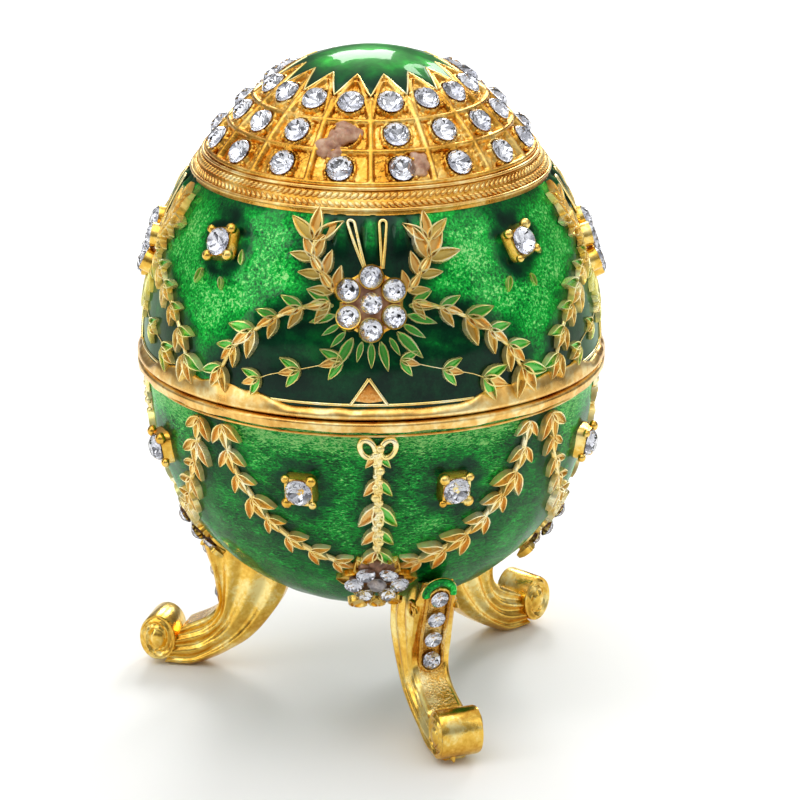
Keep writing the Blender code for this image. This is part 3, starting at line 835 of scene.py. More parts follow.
def relief_places(half, plans):
    """Points along all the garlands of one half."""
    places = []
    for stops in plans:
        for middle in MIDDLES[half]:
            for side in (-1, 1):
                route = on_route(half, stops, middle, side, 40)
                places += list(on_egg(half, route[:, 0], route[:, 1]))
    return places


def near(distance, reach):
    """A soft hump, 1 at no distance, that fades within a reach."""
    return np.exp(-(distance / reach) ** 2)


def mottle(azimuth, level):
    """Soft uneven blotches, from 0.35 to 1."""
    bent = azimuth + 5.0 * np.sin(level * 0.9) + 3.0 * np.sin(level * 2.1 + azimuth * 0.13)
    return 0.675 + 0.325 * np.sin(bent * 0.42) * np.sin(level * 1.25 + 1.5 * np.sin(azimuth * 0.31))


def gadroons(azimuth, level):
    """The upright lobes that stand in a fan over each upper rosette."""
    beside = aside(azimuth)
    height = np.zeros(np.broadcast(azimuth, level).shape)
    for middle, half_width in ((0.0, 2.3), (-9.0, 2.4), (9.0, 2.4), (-14.0, 2.2), (14.0, 2.2)):
        splayed = middle * (0.75 + 0.25 * level / ROPE_FROM)
        height = np.maximum(height, round_ridge(beside - splayed, half_width))
    low = 15.2 + np.abs(beside) * 0.12
    return 0.58 * height * wave(0.0, 2.6, level - low) * wave(0.0, 1.6, ROPE_FROM - level)


def lid_depth_and_shading(azimuth, level, points):
    """How deep the enamel lies on the lid: thin in the middle of the panels, deep against the relief. It also
    holds a painted shadow round each stone setting, a painted sheen below the swags, and lighter gadroon
    crests that are partly thinner enamel and partly a painted highlight.
    """
    beside = np.abs(aside(azimuth))
    swag_az, swag_level = zip(*((0.0, 0.33), (10.0, 0.35), *LID_SWAG[1:], (45.0, 0.02)))
    below_swag = wave(-0.3, 1.6, np.interp(beside, swag_az, swag_level) * LID_HEIGHT - level)
    fan_level = np.interp(beside, (0.0, 9.5, 13.5, 16.3, 17.5), (0.36, 0.39, 0.455, 0.52, 0.75)) * LID_HEIGHT
    in_fan = wave(-0.4, 0.8, level - fan_level)
    garland = distance_to(points, relief_places("lid", (LID_SWAG, LID_WREATH)))
    from_setting = distance_to(points, [on_egg("lid", turn, LID_STONE_AT) for turn in LID_STONE_TURNS])
    patchy = mottle(azimuth, level)
    # Darker ring round each stone setting: a painted shadow of the raised setting
    depth = 0.21 + 0.50 * near(garland, 1.2 + 1.5 * patchy) + 0.66 * patchy * near(from_setting - 2.5, 1.4)
    under_rope = wave(3.0, 0.2, ROPE_FROM - level) * wave(16.0, 30.0, beside)
    depth += 0.30 * under_rope + 0.20 * wave(9.0, 4.5, level)
    # A lighter patch below the swags near each quarter's middle: a painted sheen
    painted_sheen = 0.34 * patchy * near(level - 7.5, 2.6) * wave(30.0, 18.0, beside)
    depth = np.maximum(depth, (0.88 - painted_sheen) * below_swag)
    # The fan lies deep; its gadroon crests are lighter, partly thinner enamel and partly a painted highlight
    return np.maximum(depth, (0.84 - 0.55 * gadroons(azimuth, level)) * in_fan)


def base_depth_and_shadow(azimuth, level, points):
    """How deep the enamel lies on the base: wavy and middling in the panels, deep outside the swags. It also
    holds a painted shadow round each stone setting.
    """
    beside = np.abs(aside(azimuth - BASE_TURN))
    swag_az, swag_level = zip(*((0.0, 0.62), *BASE_SWAG[::-1], (45.0, 0.02)))
    outside = wave(-0.5, 0.9, level - np.interp(beside, swag_az, swag_level) * BASE_DEPTH)
    garland = distance_to(points, relief_places("base", (BASE_SWAG, BASE_DROP)))
    from_setting = distance_to(points, [on_egg("base", turn, BASE_STONE_AT) for turn in BASE_STONE_TURNS])
    patchy = mottle(azimuth + 40.0, level)
    # Darker ring round each stone setting: a painted shadow of the raised setting
    panel = 0.37 + 0.42 * near(garland, 1.2 + 1.3 * patchy) + 0.50 * patchy * near(from_setting - 2.6, 1.4)
    panel -= 0.26 * wave(4.8, 2.6, level)
    return np.where(outside > 0.5, 0.54 + 0.24 * near(garland, 2.4) + 0.10 * wave(18.0, 26.0, level), panel)


def hollow_shell(name, outer, inner, poles, enamel, depth):
    """A closed hollow casting from rings of its outer and inner faces, both listed from the seam to the pole.
    The enamel is outside only, and the rest is gilt."""
    rows, columns = outer.shape[:2]
    points = np.concatenate([outer.reshape(-1, 3), inner.reshape(-1, 3), poles])
    shift = rows * columns
    top, inner_top = len(points) - 2, len(points) - 1
    last, last_inner = shift - columns, inner_top - 1 - columns
    outside = grid_faces(rows, columns)
    faces = outside + grid_faces(inner.shape[0], columns, offset=shift, flip=True)
    for j in range(columns):
        k = (j + 1) % columns
        faces.append((k, j, shift + j, shift + k))
        faces.append((last_inner + k, last_inner + j, inner_top))
    slots = [0] * len(outside) + [1] * (len(faces) - len(outside)) + [0] * columns
    faces += [(last + j, last + (j + 1) % columns, top) for j in range(columns)]
    values = {"depth": np.concatenate([depth.ravel(), np.full(len(points) - shift, 0.6)])}
    return piece(name, points, faces, enamel, GILT, face_slots=slots, values=values)


def shell_grid(half, levels, depth_of):
    """Azimuths and levels of a grid over one half, and how deep the enamel lies there, with the painted shade
    and highlights that ride on it.
    """
    az, level = np.meshgrid(around(COLUMNS), levels)
    flat = on_egg(half, az, level)
    return az, level, depth_of(az.ravel(), level.ravel(), flat.reshape(-1, 3)).reshape(az.shape)


def make_lid_casting():
    """The lid: outer face with gadroons and a softly uneven skin, and a plain inner face."""
    top = LID_HEIGHT * np.array((0.70, 0.78, 0.86, 0.92, 0.96, 0.985, 0.997))
    levels = np.concatenate([[GAP / 2], np.linspace(0.5, ROPE_FROM + 0.5, 100), top])
    az, level, depth = shell_grid("lid", levels, lid_depth_and_shading)
    uneven = 0.05 * np.sin(az / 7.3 + level * 0.9) * np.sin(az / 4.1 - level * 0.5)
    lift = gadroons(az, level) + uneven - 0.12 * wave(0.5, 0.2, depth)
    outer = on_egg("lid", az, level, np.where(level > ROPE_FROM + 0.3, -0.4, lift))
    outer[0, :, 2] = SEAM + GAP / 2
    inner_top = LID_HEIGHT - LID_WALL
    rises = np.array((0.0, 0.15, 0.3, 0.45, 0.58, 0.7, 0.8, 0.88, 0.94, 0.98)) * inner_top
    inner_az, rise = np.meshgrid(around(COLUMNS), rises)
    inner = polar(lid_radius(rise, LID_WALL), inner_az, SEAM + np.maximum(rise, GAP / 2))
    poles = [(0, 0, SEAM + LID_HEIGHT), (0, 0, SEAM + inner_top)]
    return hollow_shell("lid_casting", outer, inner, poles, STIPPLED_ENAMEL, depth)


def make_base_casting():
    """The base: outer face down to the bottom, and the inner face with the lip that locates the lid."""
    share = np.concatenate([np.linspace(0.02, 0.90, 90), (0.93, 0.955, 0.975, 0.988, 0.996)])
    az, level, depth = shell_grid("base", np.concatenate([[GAP / 2], share * BASE_DEPTH]), base_depth_and_shadow)
    uneven = 0.06 * np.sin(az / 6.1 + level * 0.7) * np.sin(az / 3.7 - level * 0.8)
    outer = on_egg("base", az, level, uneven * wave(1.0, 3.0, level) * wave(27.5, 24.0, level))
    outer[0, :, 2] = SEAM - GAP / 2
    lip_outer = float(lid_radius(0.0, LID_WALL)) - GAP
    lip_inner = lip_outer - LIP_THICKNESS
    lip_top, bevel = SEAM + LIP_HEIGHT, 0.2
    wall = BASE_RADIUS - lip_inner
    profile = [(lip_outer, SEAM - GAP / 2), (lip_outer, lip_top - bevel), (lip_outer - bevel, lip_top),
               (lip_inner, lip_top)]
    for step in (0.0, 0.2, 0.4, 0.58, 0.72, 0.83, 0.91, 0.97):
        drop = step * (BASE_DEPTH - wall)
        profile.append((float(base_radius(drop, wall)), SEAM - drop))
    inner = np.stack([polar(radius, around(COLUMNS), height) for radius, height in profile])
    poles = [(0, 0, SEAM - BASE_DEPTH), (0, 0, SEAM - BASE_DEPTH + wall)]
    return hollow_shell("base_casting", outer, inner, poles, BRUSHED_ENAMEL, depth)


def rim_band(name, half, top):
    """The gilt band that a half meets the seam with. Its far edge, at the levels of top, runs unevenly over
    the enamel."""
    azimuth = around(COLUMNS)
    up, radius_of = (1, lid_radius) if half == "lid" else (-1, base_radius)
    filed = 0.05 * np.sin(azimuth / 3.1) + 0.04 * np.sin(azimuth / 1.3 + 1)
    profile = ((radius_of(1.0) - 0.5, GAP / 2),
               (RIM - 0.22, GAP / 2),
               (RIM, 0.38),
               (RIM - 0.02, 0.62),
               (RIM - 0.18 + filed, np.minimum(RIM_HEIGHT - 0.12, top - 0.35)),
               (radius_of(top - 0.1) + 0.32 + filed, top - 0.2 + filed),
               (radius_of(top) + 0.10, top + filed),
               (radius_of(top) - 0.4, top))
    points = np.concatenate([polar(radius, azimuth, SEAM + up * level) for radius, level in profile])
    return piece(name, points, grid_faces(len(profile), COLUMNS, ring=True), GILT_RIM)


def make_castings():
    """Both halves with their rim bands. The lid's band is narrow over each quarter's middle, wide between."""
    settle(make_lid_casting(), "lid_shell", slot="green_enamel")
    settle(make_base_casting(), "base_shell", slot="green_enamel")
    azimuth = around(COLUMNS)
    wide = wave(20.0, 31.0, np.abs(aside(azimuth)))
    uneven = (0.03 + 0.10 * wide) * (np.sin(azimuth / 2.3) + 0.7 * np.sin(azimuth / 1.1 + 2))
    settle(rim_band("lid_rim", "lid", 1.25 + 1.10 * wide + uneven))
    settle(rim_band("base_rim", "base", 1.55 + 0.06 * np.sin(azimuth / 2.9)))
    settle(wires("base_line", [(ring_on("base", 1.95, 0.04), 0.14, True)], GILT_RIM))
    beside = np.linspace(-LID_LINE_REACH, LID_LINE_REACH, 60)
    lines = [on_egg("lid", middle + beside, LID_LINE_LEVEL + 0 * beside, 0.02) for middle in QUARTERS]
    settle(wires("lid_line", [(line, 0.17, False) for line in lines], GILT_PALE))


# The jewelled trellis and the star

TRELLIS_RINGS = np.array((0.684, 0.768, 0.843)) * LID_HEIGHT
TRELLIS_ROWS = np.array((0.723, 0.809, 0.888)) * LID_HEIGHT
TRELLIS_COLUMNS = 720
TRELLIS_FLOOR = 0.08
TRELLIS_STONE = 2.8
COLLAR_RADIUS = 1.58
WELL_RADIUS = 1.36
WELL_FLOOR = -0.28
RIBS = 16
RIB_TURN = 360 / RIBS
STAR_TIP = 9.75
STAR_NOTCH = 6.9
UNDER_STAR = 6.0
# This cell holds a lump of glue and no stone
GLUED_CELL = (1, 15)

LEVELS = np.linspace(0, LID_HEIGHT, 4001)
RADII = lid_radius(LEVELS)
MERIDIAN = np.concatenate([[0], np.cumsum(np.hypot(np.diff(LEVELS), np.diff(RADII)))])


def meridian(level):
    """Millimetres along the lid's outline from the seam."""
    return np.interp(level, LEVELS, MERIDIAN)


def level_at_radius(radius):
    """Level of the upper lid where it has a radius."""
    return np.interp(radius, RADII[::-1], LEVELS[::-1])


def beside_rib(azimuth):
    """Degrees from the nearest rib."""
    return np.abs((azimuth + RIB_TURN / 2) % RIB_TURN - RIB_TURN / 2)


def trellis_lift(az, level):
    """How far the gilt trellis stands off the egg: floors, ribs, rings, a collar round each stone, a pair of
    pointed arches over each stone of the top row, and the wells that the stones stand in."""
    radius = lid_radius(level)
    along = meridian(level)
    rib = beside_rib(az)
    shown = wave(TRELLIS_RINGS[0] - 0.3, TRELLIS_RINGS[0], level) * wave(9.2, 10.4, radius)
    lift = TRELLIS_FLOOR + 0.50 * (round_ridge(np.radians(rib) * radius, 0.40) * shown)
    for ring in TRELLIS_RINGS:
        lift = np.maximum(lift, TRELLIS_FLOOR + 0.50 * round_ridge(along - meridian(ring), 0.36))
    across = np.radians(RIB_TURN / 2 - rib) * radius
    from_stones = [np.hypot(across, along - meridian(row)) for row in TRELLIS_ROWS]
    for away in from_stones:
        lift = np.maximum(lift, TRELLIS_FLOOR + 0.34 * round_ridge(away - COLLAR_RADIUS, 0.20))
    share = 1 - rib / (RIB_TURN / 2)
    foot = meridian(TRELLIS_RINGS[-1])
    tall = meridian(level_at_radius(STAR_NOTCH + 0.45)) - foot
    for inset in (0.0, 0.62):
        arch = foot - inset + tall * (1 - share ** 2.2)
        steep = np.hypot(1.0, 2.2 * tall * share ** 1.2 / (np.radians(RIB_TURN / 2) * radius))
        line = round_ridge((along - arch) / steep, 0.20)
        lift = np.maximum(lift, TRELLIS_FLOOR + 0.44 * line * (level > TRELLIS_RINGS[-1]))
    rope = wave(-0.5, 0.0, along - meridian(ROPE_FROM)) * wave(0.5, 0.0, along - meridian(ROPE_TO))
    lift = np.maximum(lift, 0.25 * rope)
    for away in from_stones:
        lift = np.where(away < WELL_RADIUS, WELL_FLOOR, lift)
    return lift


def make_trellis():
    """The cast cage over the top of the lid. Its floors are pitted, and it runs on smooth under the star."""
    along = np.concatenate([
        np.linspace(meridian(ROPE_FROM) - 0.55, meridian(level_at_radius(UNDER_STAR)), 125),
        np.linspace(meridian(level_at_radius(UNDER_STAR - 0.4)), MERIDIAN[-1] - 0.6, 5)])
    az, level = np.meshgrid(around(TRELLIS_COLUMNS), np.interp(along, MERIDIAN, LEVELS))
    chance = np.random.default_rng(SEED)
    lift = trellis_lift(az, level)
    pits = chance.random(az.shape) * 0.13 * (lift < 0.2) + chance.random(az.shape) * 0.03
    pits *= (level > ROPE_TO + 0.3) & (level < level_at_radius(UNDER_STAR))
    lift = np.where(level > level_at_radius(UNDER_STAR), np.minimum(lift, 0.0), lift)
    foot = on_egg("lid", az[:1], level[:1], -0.4)
    outer = on_egg("lid", az, level, lift - pits)
    return piece("lid_trellis", *solid_of_revolution(np.concatenate([foot, outer])), GILT_CAGE)


def star_radius(azimuth):
    """Edge of the star over the ribs and between them."""
    share = beside_rib(azimuth) / (RIB_TURN / 2)
    return STAR_NOTCH + (STAR_TIP - STAR_NOTCH) * (1 - share) ** 1.15


def make_star():
    """The sixteen-pointed star of glassy enamel that closes the top of the lid."""
    azimuth = around(RIBS * 16)
    edge = star_radius(azimuth)
    profile = ((1.0, -0.3), (1.0, 0.28), (0.975, 0.38), (0.94, 0.40), (0.88, 0.38), (0.80, 0.34),
               (0.70, 0.28), (0.6, 0.22), (0.5, 0.17), (0.4, 0.13), (0.3, 0.10), (0.2, 0.08), (0.1, 0.06))
    rings = []
    for share, lift in profile:
        radius = share * (edge.mean() + (edge - edge.mean()) * share ** 5)
        rings.append(on_egg("lid", azimuth, level_at_radius(radius), lift))
    shares = np.repeat([share for share, lift in profile], len(azimuth))
    depth = np.concatenate([0.54 + 0.24 * wave(0.70, 0.96, shares), (0.7, 0.54)])
    return piece("star_enamel", *solid_of_revolution(np.array(rings)), STAR_ENAMEL, values={"depth": depth})


def spots_on(half, turns, level, lift, spin=0.0):
    """Frames at one level."""
    return [spot(half, turn, level, lift, spin) for turn in turns]


def trellis_spots(lift, spin):
    """Frames of the trellis stones, row by row from the lowest, each turned on by a spin."""
    return [spot("lid", (k + 0.5) * RIB_TURN, level, lift, spin * k)
            for row, level in enumerate(TRELLIS_ROWS) for k in range(RIBS) if (row, k) != GLUED_CELL]


def at_corners(frames, across, up, lift):
    """Frames at the four corners round each of some frames."""
    return [frame @ Matrix.Translation((x * across, y * up, lift))
            for frame in frames for x, y in ((1, 1), (-1, 1), (-1, -1), (1, -1))]


def make_top():
    """The trellis with its stones and glue, the rope band and the star."""
    settle(make_trellis())
    settle(make_star(), slot="green_enamel")
    azimuth = around(RIBS * 12)
    outline = on_egg("lid", azimuth, level_at_radius(star_radius(azimuth)), 0.36)
    settle(wires("star_edge", [(outline, 0.14, True)], GILT_PALE))
    edges = [(ring_on("lid", ROPE_FROM - 0.05, 0.35), 0.22, True),
             (ring_on("lid", ROPE_TO + 0.20, 0.42), 0.20, True)]
    settle(wires("rope_edges", edges, GILT_RIM))
    rope = [bead for level, slant, shift in ((ROPE_FROM + 0.45, 52.0, 0.0), (ROPE_TO - 0.38, -52.0, 0.5))
            for bead in spots_on("lid", around(ROPE_BEADS, shift), level, 0.26, slant)]
    settle(set_out("rope_beads", BEAD, rope, 1.0, GILT_RIM, spread=0.08))
    stones = set_out("trellis_stones", CHATON, trellis_spots(0.55, 157.0), TRELLIS_STONE / 2, GLASS, FOIL)
    settle(stones, slot="cut_glass")
    grains = at_corners(trellis_spots(0.0, 0.0), 1.38, 1.02, 0.18)
    settle(set_out("trellis_grains", GRAIN, grains, 0.30, GILT_CAGE, spread=0.2))
    # Azimuth, row, millimetres above the row, turn
    smears = ((-11.0, 1, 0.0, 20.0), (-15.5, 1, -0.4, 80.0), (-7.5, 1, 0.3, 140.0), (-13.0, 1, 0.7, 200.0),
              (-17.5, 1, -1.0, 30.0), (-13.5, 0, 1.35, 60.0), (17.2, 0, -0.1, 0.0), (18.4, 0, 0.5, 90.0))
    lumps = [spot("lid", azimuth, TRELLIS_ROWS[row] + up, 0.1, turned) for azimuth, row, up, turned in smears]
    settle(set_out("trellis_glue", LUMP, lumps, 1.25, GLUE, spread=0.2), slot="setting_adhesive")


# Garlands, wires and small relief

def make_garlands():
    """All the garlands of both halves."""
    garlands("lid_swag", "lid", LID_SWAG, step=2.9, angle=42.0, stem=0.24, washes=(1.0, 0.0, 0.12),
             lift=0.16, sizes=(0.84, 0.98))
    garlands("lid_wreath", "lid", LID_WREATH, step=2.0, angle=50.0, stem=0.30, washes=(0.0, 0.0, 0.2),
             lift=0.22, sizes=(0.85, 1.05))
    garlands("lid_sprig", "lid", LID_SPRIG, step=3.2, angle=40.0, stem=0.05, washes=(1.0, 0.0, 1.0),
             lift=0.08, sizes=(0.78, 0.82))
    garlands("base_swag", "base", BASE_SWAG, step=2.5, angle=44.0, stem=0.36, washes=(0.0, 0.0, 0.1),
             lift=0.14, sizes=(0.86, 0.84))
    garlands("base_drop", "base", BASE_DROP, step=2.5, angle=38.0, stem=0.50, washes=(1.0, 0.0, 0.0),
             lift=0.14, sizes=(0.80, 0.95), sides=(1,))


def make_drops():
    """The grains down each drop of the base, and the two loops of the bow that it hangs from."""
    stem, bows = [], []
    round_loop = np.linspace(0, 2 * np.pi, 20, endpoint=False)
    for middle in MIDDLES["base"]:
        stem += [spot("base", middle + 0.6 * (-1) ** index, level, 0.42)
                 for index, level in enumerate(np.arange(3.2, 15.6, 0.62))]
        for side in (-1, 1):
            azimuth = middle + side * (2.5 + 1.9 * np.cos(round_loop))
            level = 3.3 + 0.95 * np.sin(round_loop) - 0.3 * np.cos(round_loop)
            bows.append((on_egg("base", azimuth, level, 0.18), 0.36, True))
    settle(set_out("drop_beads", GRAIN, stem, 0.42, GILT_LEAF, spread=0.3))
    settle(wires("bows", bows, GILT_PALE))


def make_rays():
    """Narrow leaves that burst from under each upper rosette, and green flecks under the lid's stones."""
    reach = 3.9
    burst, flecks = [], []
    for middle in QUARTERS:
        for angle in (184, 198, 213, 227, 241, 256, 270, 284, 299, 313, 327, 342, 356):
            turned = math.radians(angle)
            level = UPPER_ROSETTE_AT + reach * math.sin(turned)
            azimuth = middle + math.degrees(reach * math.cos(turned) / float(lid_radius(level)))
            burst.append(spot("lid", azimuth, level, 0.12, angle - 90))
    for turn in LID_STONE_TURNS:
        for across, up, angle in ((-2.2, -2.9, 160.0), (0.6, -3.2, 200.0), (2.9, -1.6, 10.0)):
            azimuth = turn + math.degrees(across / float(lid_radius(LID_STONE_AT)))
            flecks.append(spot("lid", azimuth, LID_STONE_AT + up, 0.0, angle))
    settle(set_out("rosette_rays", RAY, burst, 0.80, GILT_LEAF, spread=0.3))
    settle(set_out("setting_flecks", GREEN_LEAF, flecks, 0.5, GILT_LEAF, spread=0.2))


def plaque(outline, lift):
    """A low patch on the lid inside an outline of (azimuth, level) corners, sunk at its edge."""
    outline = np.asarray(outline, float)
    middle = outline.mean(0)
    rings = []
    for share, height in ((1.0, -0.3), (1.0, lift * 0.7), (0.9, lift), (0.6, lift * 1.1), (0.3, lift * 1.1)):
        inner = middle + (outline - middle) * share
        rings.append(on_egg("lid", inner[:, 0], inner[:, 1], height))
    return solid_of_revolution(np.array(rings))


def make_hairpins_and_gables():
    """Two wire hairpins over each upper rosette, and a small gable on the rim under it."""
    runs, fills = [], []
    for middle in QUARTERS:
        for foot, top in ((-1.6, -6.1), (3.0, 3.5)):
            turned = np.linspace(0, np.pi, 9)
            rise = np.concatenate([np.linspace(0, 0.9, 9), 0.93 + 0.07 * np.sin(turned),
                                   np.linspace(0.9, 0, 9)])
            wide = np.concatenate([np.linspace(0.15, 1, 9), np.cos(turned), np.linspace(-1, -0.15, 9)])
            azimuth = middle + foot + (top - foot) * rise + 1.05 * wide
            runs.append((on_egg("lid", azimuth, 15.4 + 4.5 * rise, 0.42), 0.18, False))
        ridge = middle - 0.6
        for side in (-1, 1):
            azimuth = ridge + side * np.linspace(4.4, 0.0, 12)
            runs.append((on_egg("lid", azimuth, np.linspace(1.7, 4.5, 12), 0.12), 0.20, False))
        corners = ((-3.3, 2.1), (-1.6, 3.1), (0.0, 3.9), (1.6, 3.1), (3.3, 2.1), (0.0, 1.9))
        fills.append(plaque([(ridge + x, level) for x, level in corners], 0.12))
    settle(wires("hairpins_and_gables", runs, GILT_PALE))
    settle(piece("gable_fill", *gather(fills), GILT_GABLE))


# Rosettes and single stones

def rosette_spots(half, middle, level, pitch, turn, lift):
    """Frames of a rosette's outer stones and of its middle stone, each leaning a little its own way."""
    flat = spot(half, middle, level)
    chance = np.random.default_rng(int(SEED + middle + 10 * turn))
    places = [(pitch * math.cos(math.radians(turn + 60 * k)), pitch * math.sin(math.radians(turn + 60 * k)))
              for k in range(6)] + [(0.0, 0.0)]
    frames = []
    for x, y in places:
        toward = chance.uniform(0, 2 * math.pi)
        lean = Matrix.Rotation(math.radians(chance.uniform(7.0, 12.0)), 4,
                               Vector((math.cos(toward), math.sin(toward), 0)))
        spin = Matrix.Rotation(chance.uniform(0, math.pi), 4, "Z")
        frames.append(flat @ Matrix.Translation((x, y, lift)) @ lean @ spin)
    return frames


def lobed_disc(radius, lobe, turn, profile):
    """A domed disc with six lobes, from (share of its radius, height) stops. Starts under the wall."""
    turns = around(72)
    edge = radius + lobe * np.cos(6 * np.radians(turns - turn))
    return turned_shape(turns, [(edge * share, height) for share, height in profile])


def petals_and_glue(name, frame, middle, level, pitch, turn):
    """What dresses a lower rosette: six petals behind the stones, old glue above and gilt petals below."""
    petals = [frame @ Matrix.Rotation(math.radians(turn + 60 * k), 4, "Z")
              @ Matrix.Translation((pitch * 0.55, 0, -0.12)) @ Matrix.Rotation(math.radians(-90), 4, "Z")
              for k in range(6)]
    settle(set_out(name + "_petals", PETAL, petals, 1.0, GILT))
    lumps = [frame @ Matrix.Translation((x, pitch + up, 0.15))
             for x, up in ((0.1, 0.35), (-0.9, 0.1), (1.0, 0.15))]
    settle(set_out(name + "_glue", LUMP, lumps, 1.1, OLD_GLUE, spread=0.2), slot="setting_adhesive")
    tails = [spot("base", middle + beside, level + 1.7, 1.3, 180.0 + lean)
             for beside, lean in ((-5.5, -20.0), (0.0, 5.0), (5.5, 25.0))]
    settle(set_out(name + "_tails", PETAL, tails, 0.72, GILT, spread=0.2))


def make_rosettes(half, level, pitch, turn, stone, lift):
    """The four rosettes of one half: a glue bed with seven stones. Over the seam each outer stone sits in a
    thin cup. Below it petals hold them, and the middle stone's foil is dull."""
    upper = half == "lid"
    glue, middle_foil = (GLUE, FOIL) if upper else (OLD_GLUE, DULLED_FOIL)
    bed = lobed_disc(pitch + stone * 0.22, 0.15, turn, (
        (1.0, -0.4), (1.0, 0.10), (0.95, 0.22), (0.8, 0.30), (0.5, 0.36), (0.2, 0.38)))
    plate = lobed_disc(pitch + 0.75, 0.25, turn, ((1.0, -0.5), (1.0, 0.10), (0.9, 0.22), (0.5, 0.25)))
    for quarter, middle in zip(QUARTER_NAMES, MIDDLES[half]):
        name = f"{'upper' if upper else 'lower'}_rosette_{quarter}"
        frame = spot(half, middle, level)
        spots = rosette_spots(half, middle, level, pitch, turn, lift)
        if upper:
            settle(piece(name + "_plate", *placed(plate, frame), GILT))
            settle(set_out(name + "_cups", CUP, spots[:6], stone / 2, GILT))
        else:
            petals_and_glue(name, frame, middle, level, pitch, turn)
        settle(piece(name + "_bed", *placed(bed, frame), glue), slot="setting_adhesive")
        settle(set_out(name + "_stones", CHATON, spots[:6], stone / 2, GLASS, FOIL), name, slot="cut_glass")
        settle(set_out(name + "_middle_stone", CHATON, spots[6:], stone / 2, GLASS, middle_foil),
               slot="cut_glass")


def make_single_stones():
    """The single stones of both halves, each in a square cup with four claws."""
    claws = []
    for half, turns, level, spin, lift in (("lid", LID_STONE_TURNS, LID_STONE_AT, 12.0, 1.25),
                                           ("base", BASE_STONE_TURNS, BASE_STONE_AT, 0.0, 1.2)):
        frames = spots_on(half, turns, level, 0.0, spin)
        settle(set_out(half + "_settings", SQUARE_CUP, frames, 1.0, GILT))
        stones = set_out(half + "_stones", CHATON, spots_on(half, turns, level, lift), SINGLE_STONE / 2,
                         GLASS, FOIL)
        settle(stones, *(f"{half}_stone_{k + 1}" for k in range(len(turns))), slot="cut_glass")
        claws += at_corners(frames, 1.42, 1.42, 0.85)
    settle(set_out("claws", CLAW, claws, 0.56, GILT, spread=0.25))


# Legs

LEG_TURNS = {"leg_front": 21.2, "leg_left": -104.0, "leg_right_rear": 134.0}
LEG_TOP_DROP = 20.3
LEG_STAND_OFF = 0.75
LEG_HEIGHT = SEAM - LEG_TOP_DROP
LEG_WIDTH = 4.6
LEG_OUTER = ((0.060, 0.0), (0.030, 0.120), (-0.016, 0.255), (-0.058, 0.380),
             (-0.085, 0.500), (-0.070, 0.590), (-0.005, 0.665), (0.150, 0.745))
LEG_INNER = ((-0.537, 0.218), (-0.470, 0.490), (-0.370, 0.660), (-0.262, 0.785),
             (-0.150, 0.868), (-0.030, 0.940), (0.110, 1.0), (0.270, 1.0))
LEG_SECTION = ((0.0, 0.86), (0.05, 0.98), (0.10, 1.0), (0.24, 0.80), (0.38, 1.0), (0.52, 0.80),
               (0.66, 1.0), (0.80, 0.78), (0.90, 0.92), (1.0, 0.50))
LEG_ROWS = 72
FACE_POINTS = 7
ROLL_CENTRE = (0.298, 0.822)
ROLL_RADII = (0.112, 0.142)
ROLL_SIDES = 48
LEG_STONE = 2.0
LEG_STONE_PITCH = 2.8
LEG_FIRST_STONE = 2.2
LEG_STONES = 4


def leg_at(turn, out, down, across):
    """Points of a leg in millimetres, from places in shares of its height and millimetres sideways."""
    out, down, across = np.broadcast_arrays(np.asarray(out, float), down, across)
    side = math.radians(turn)
    radius = float(base_radius(LEG_TOP_DROP)) + LEG_STAND_OFF + out * LEG_HEIGHT
    return np.stack([radius * math.sin(side) + across * math.cos(side),
                     -radius * math.cos(side) + across * math.sin(side), LEG_HEIGHT * (1 - down)], axis=-1)


def leg_body(turn):
    """The fluted scroll: flat outer face, flutes down each side, narrowing at its top. The third result marks
    the faces of the outer face."""
    outer = through(LEG_OUTER, LEG_ROWS)
    inner = through(LEG_INNER, LEG_ROWS)
    section = through(LEG_SECTION, 46)
    shares = np.concatenate([np.zeros(FACE_POINTS), section[:, 0], np.ones(3), section[::-1, 0]])
    widths = np.concatenate([np.linspace(-0.72, 0.72, FACE_POINTS), section[:, 1], np.linspace(0.3, -0.3, 3),
                             -section[::-1, 1]])
    along = np.linspace(0, 1, LEG_ROWS)
    half = np.interp(along, (0, 0.13, 0.45, 0.72, 1.0), (0.74, 1.0, 1.0, 0.88, 0.95)) * LEG_WIDTH / 2
    out, down = (outer[:, None, axis] + (inner[:, None, axis] - outer[:, None, axis]) * shares
                 for axis in (0, 1))
    points, faces = solid_of_revolution(leg_at(turn, out, down, widths * half[:, None]))
    columns = len(shares)
    marks = [index < (LEG_ROWS - 1) * columns and index % columns < FACE_POINTS - 1
             for index in range(len(faces))]
    return points, faces, marks


def leg_roll(turn):
    """The volute that the leg stands on. Each end has a spiral groove that winds in to a domed eye."""
    angle = np.linspace(0, 2 * np.pi, ROLL_SIDES, endpoint=False)
    half = LEG_WIDTH / 2 + 0.1
    reaches = np.linspace(0.04, 0.90, 16)

    def end(reach, side):
        groove = np.cos(2 * np.pi * (1.6 * reach - side * angle / (2 * np.pi))) ** 2
        eye = 0.55 * round_ridge(reach, 0.42)
        flat = 0.30 * groove * wave(0.34, 0.5, reach) * wave(0.92, 0.8, reach)
        return reach, side * (half - 0.1 + np.maximum(flat, eye))

    drum = ((0.965, 0.05 - half), (1.0, 0.30 - half), (1.0, 0.0), (1.0, half - 0.30), (0.965, half - 0.05))
    rows = [end(reach, -1) for reach in reaches] + list(drum) + [end(reach, 1) for reach in reaches[::-1]]
    return solid_of_revolution(np.array([
        leg_at(turn, ROLL_CENTRE[0] + ROLL_RADII[0] * reach * np.cos(angle),
               ROLL_CENTRE[1] + ROLL_RADII[1] * reach * np.sin(angle), across) for reach, across in rows]))


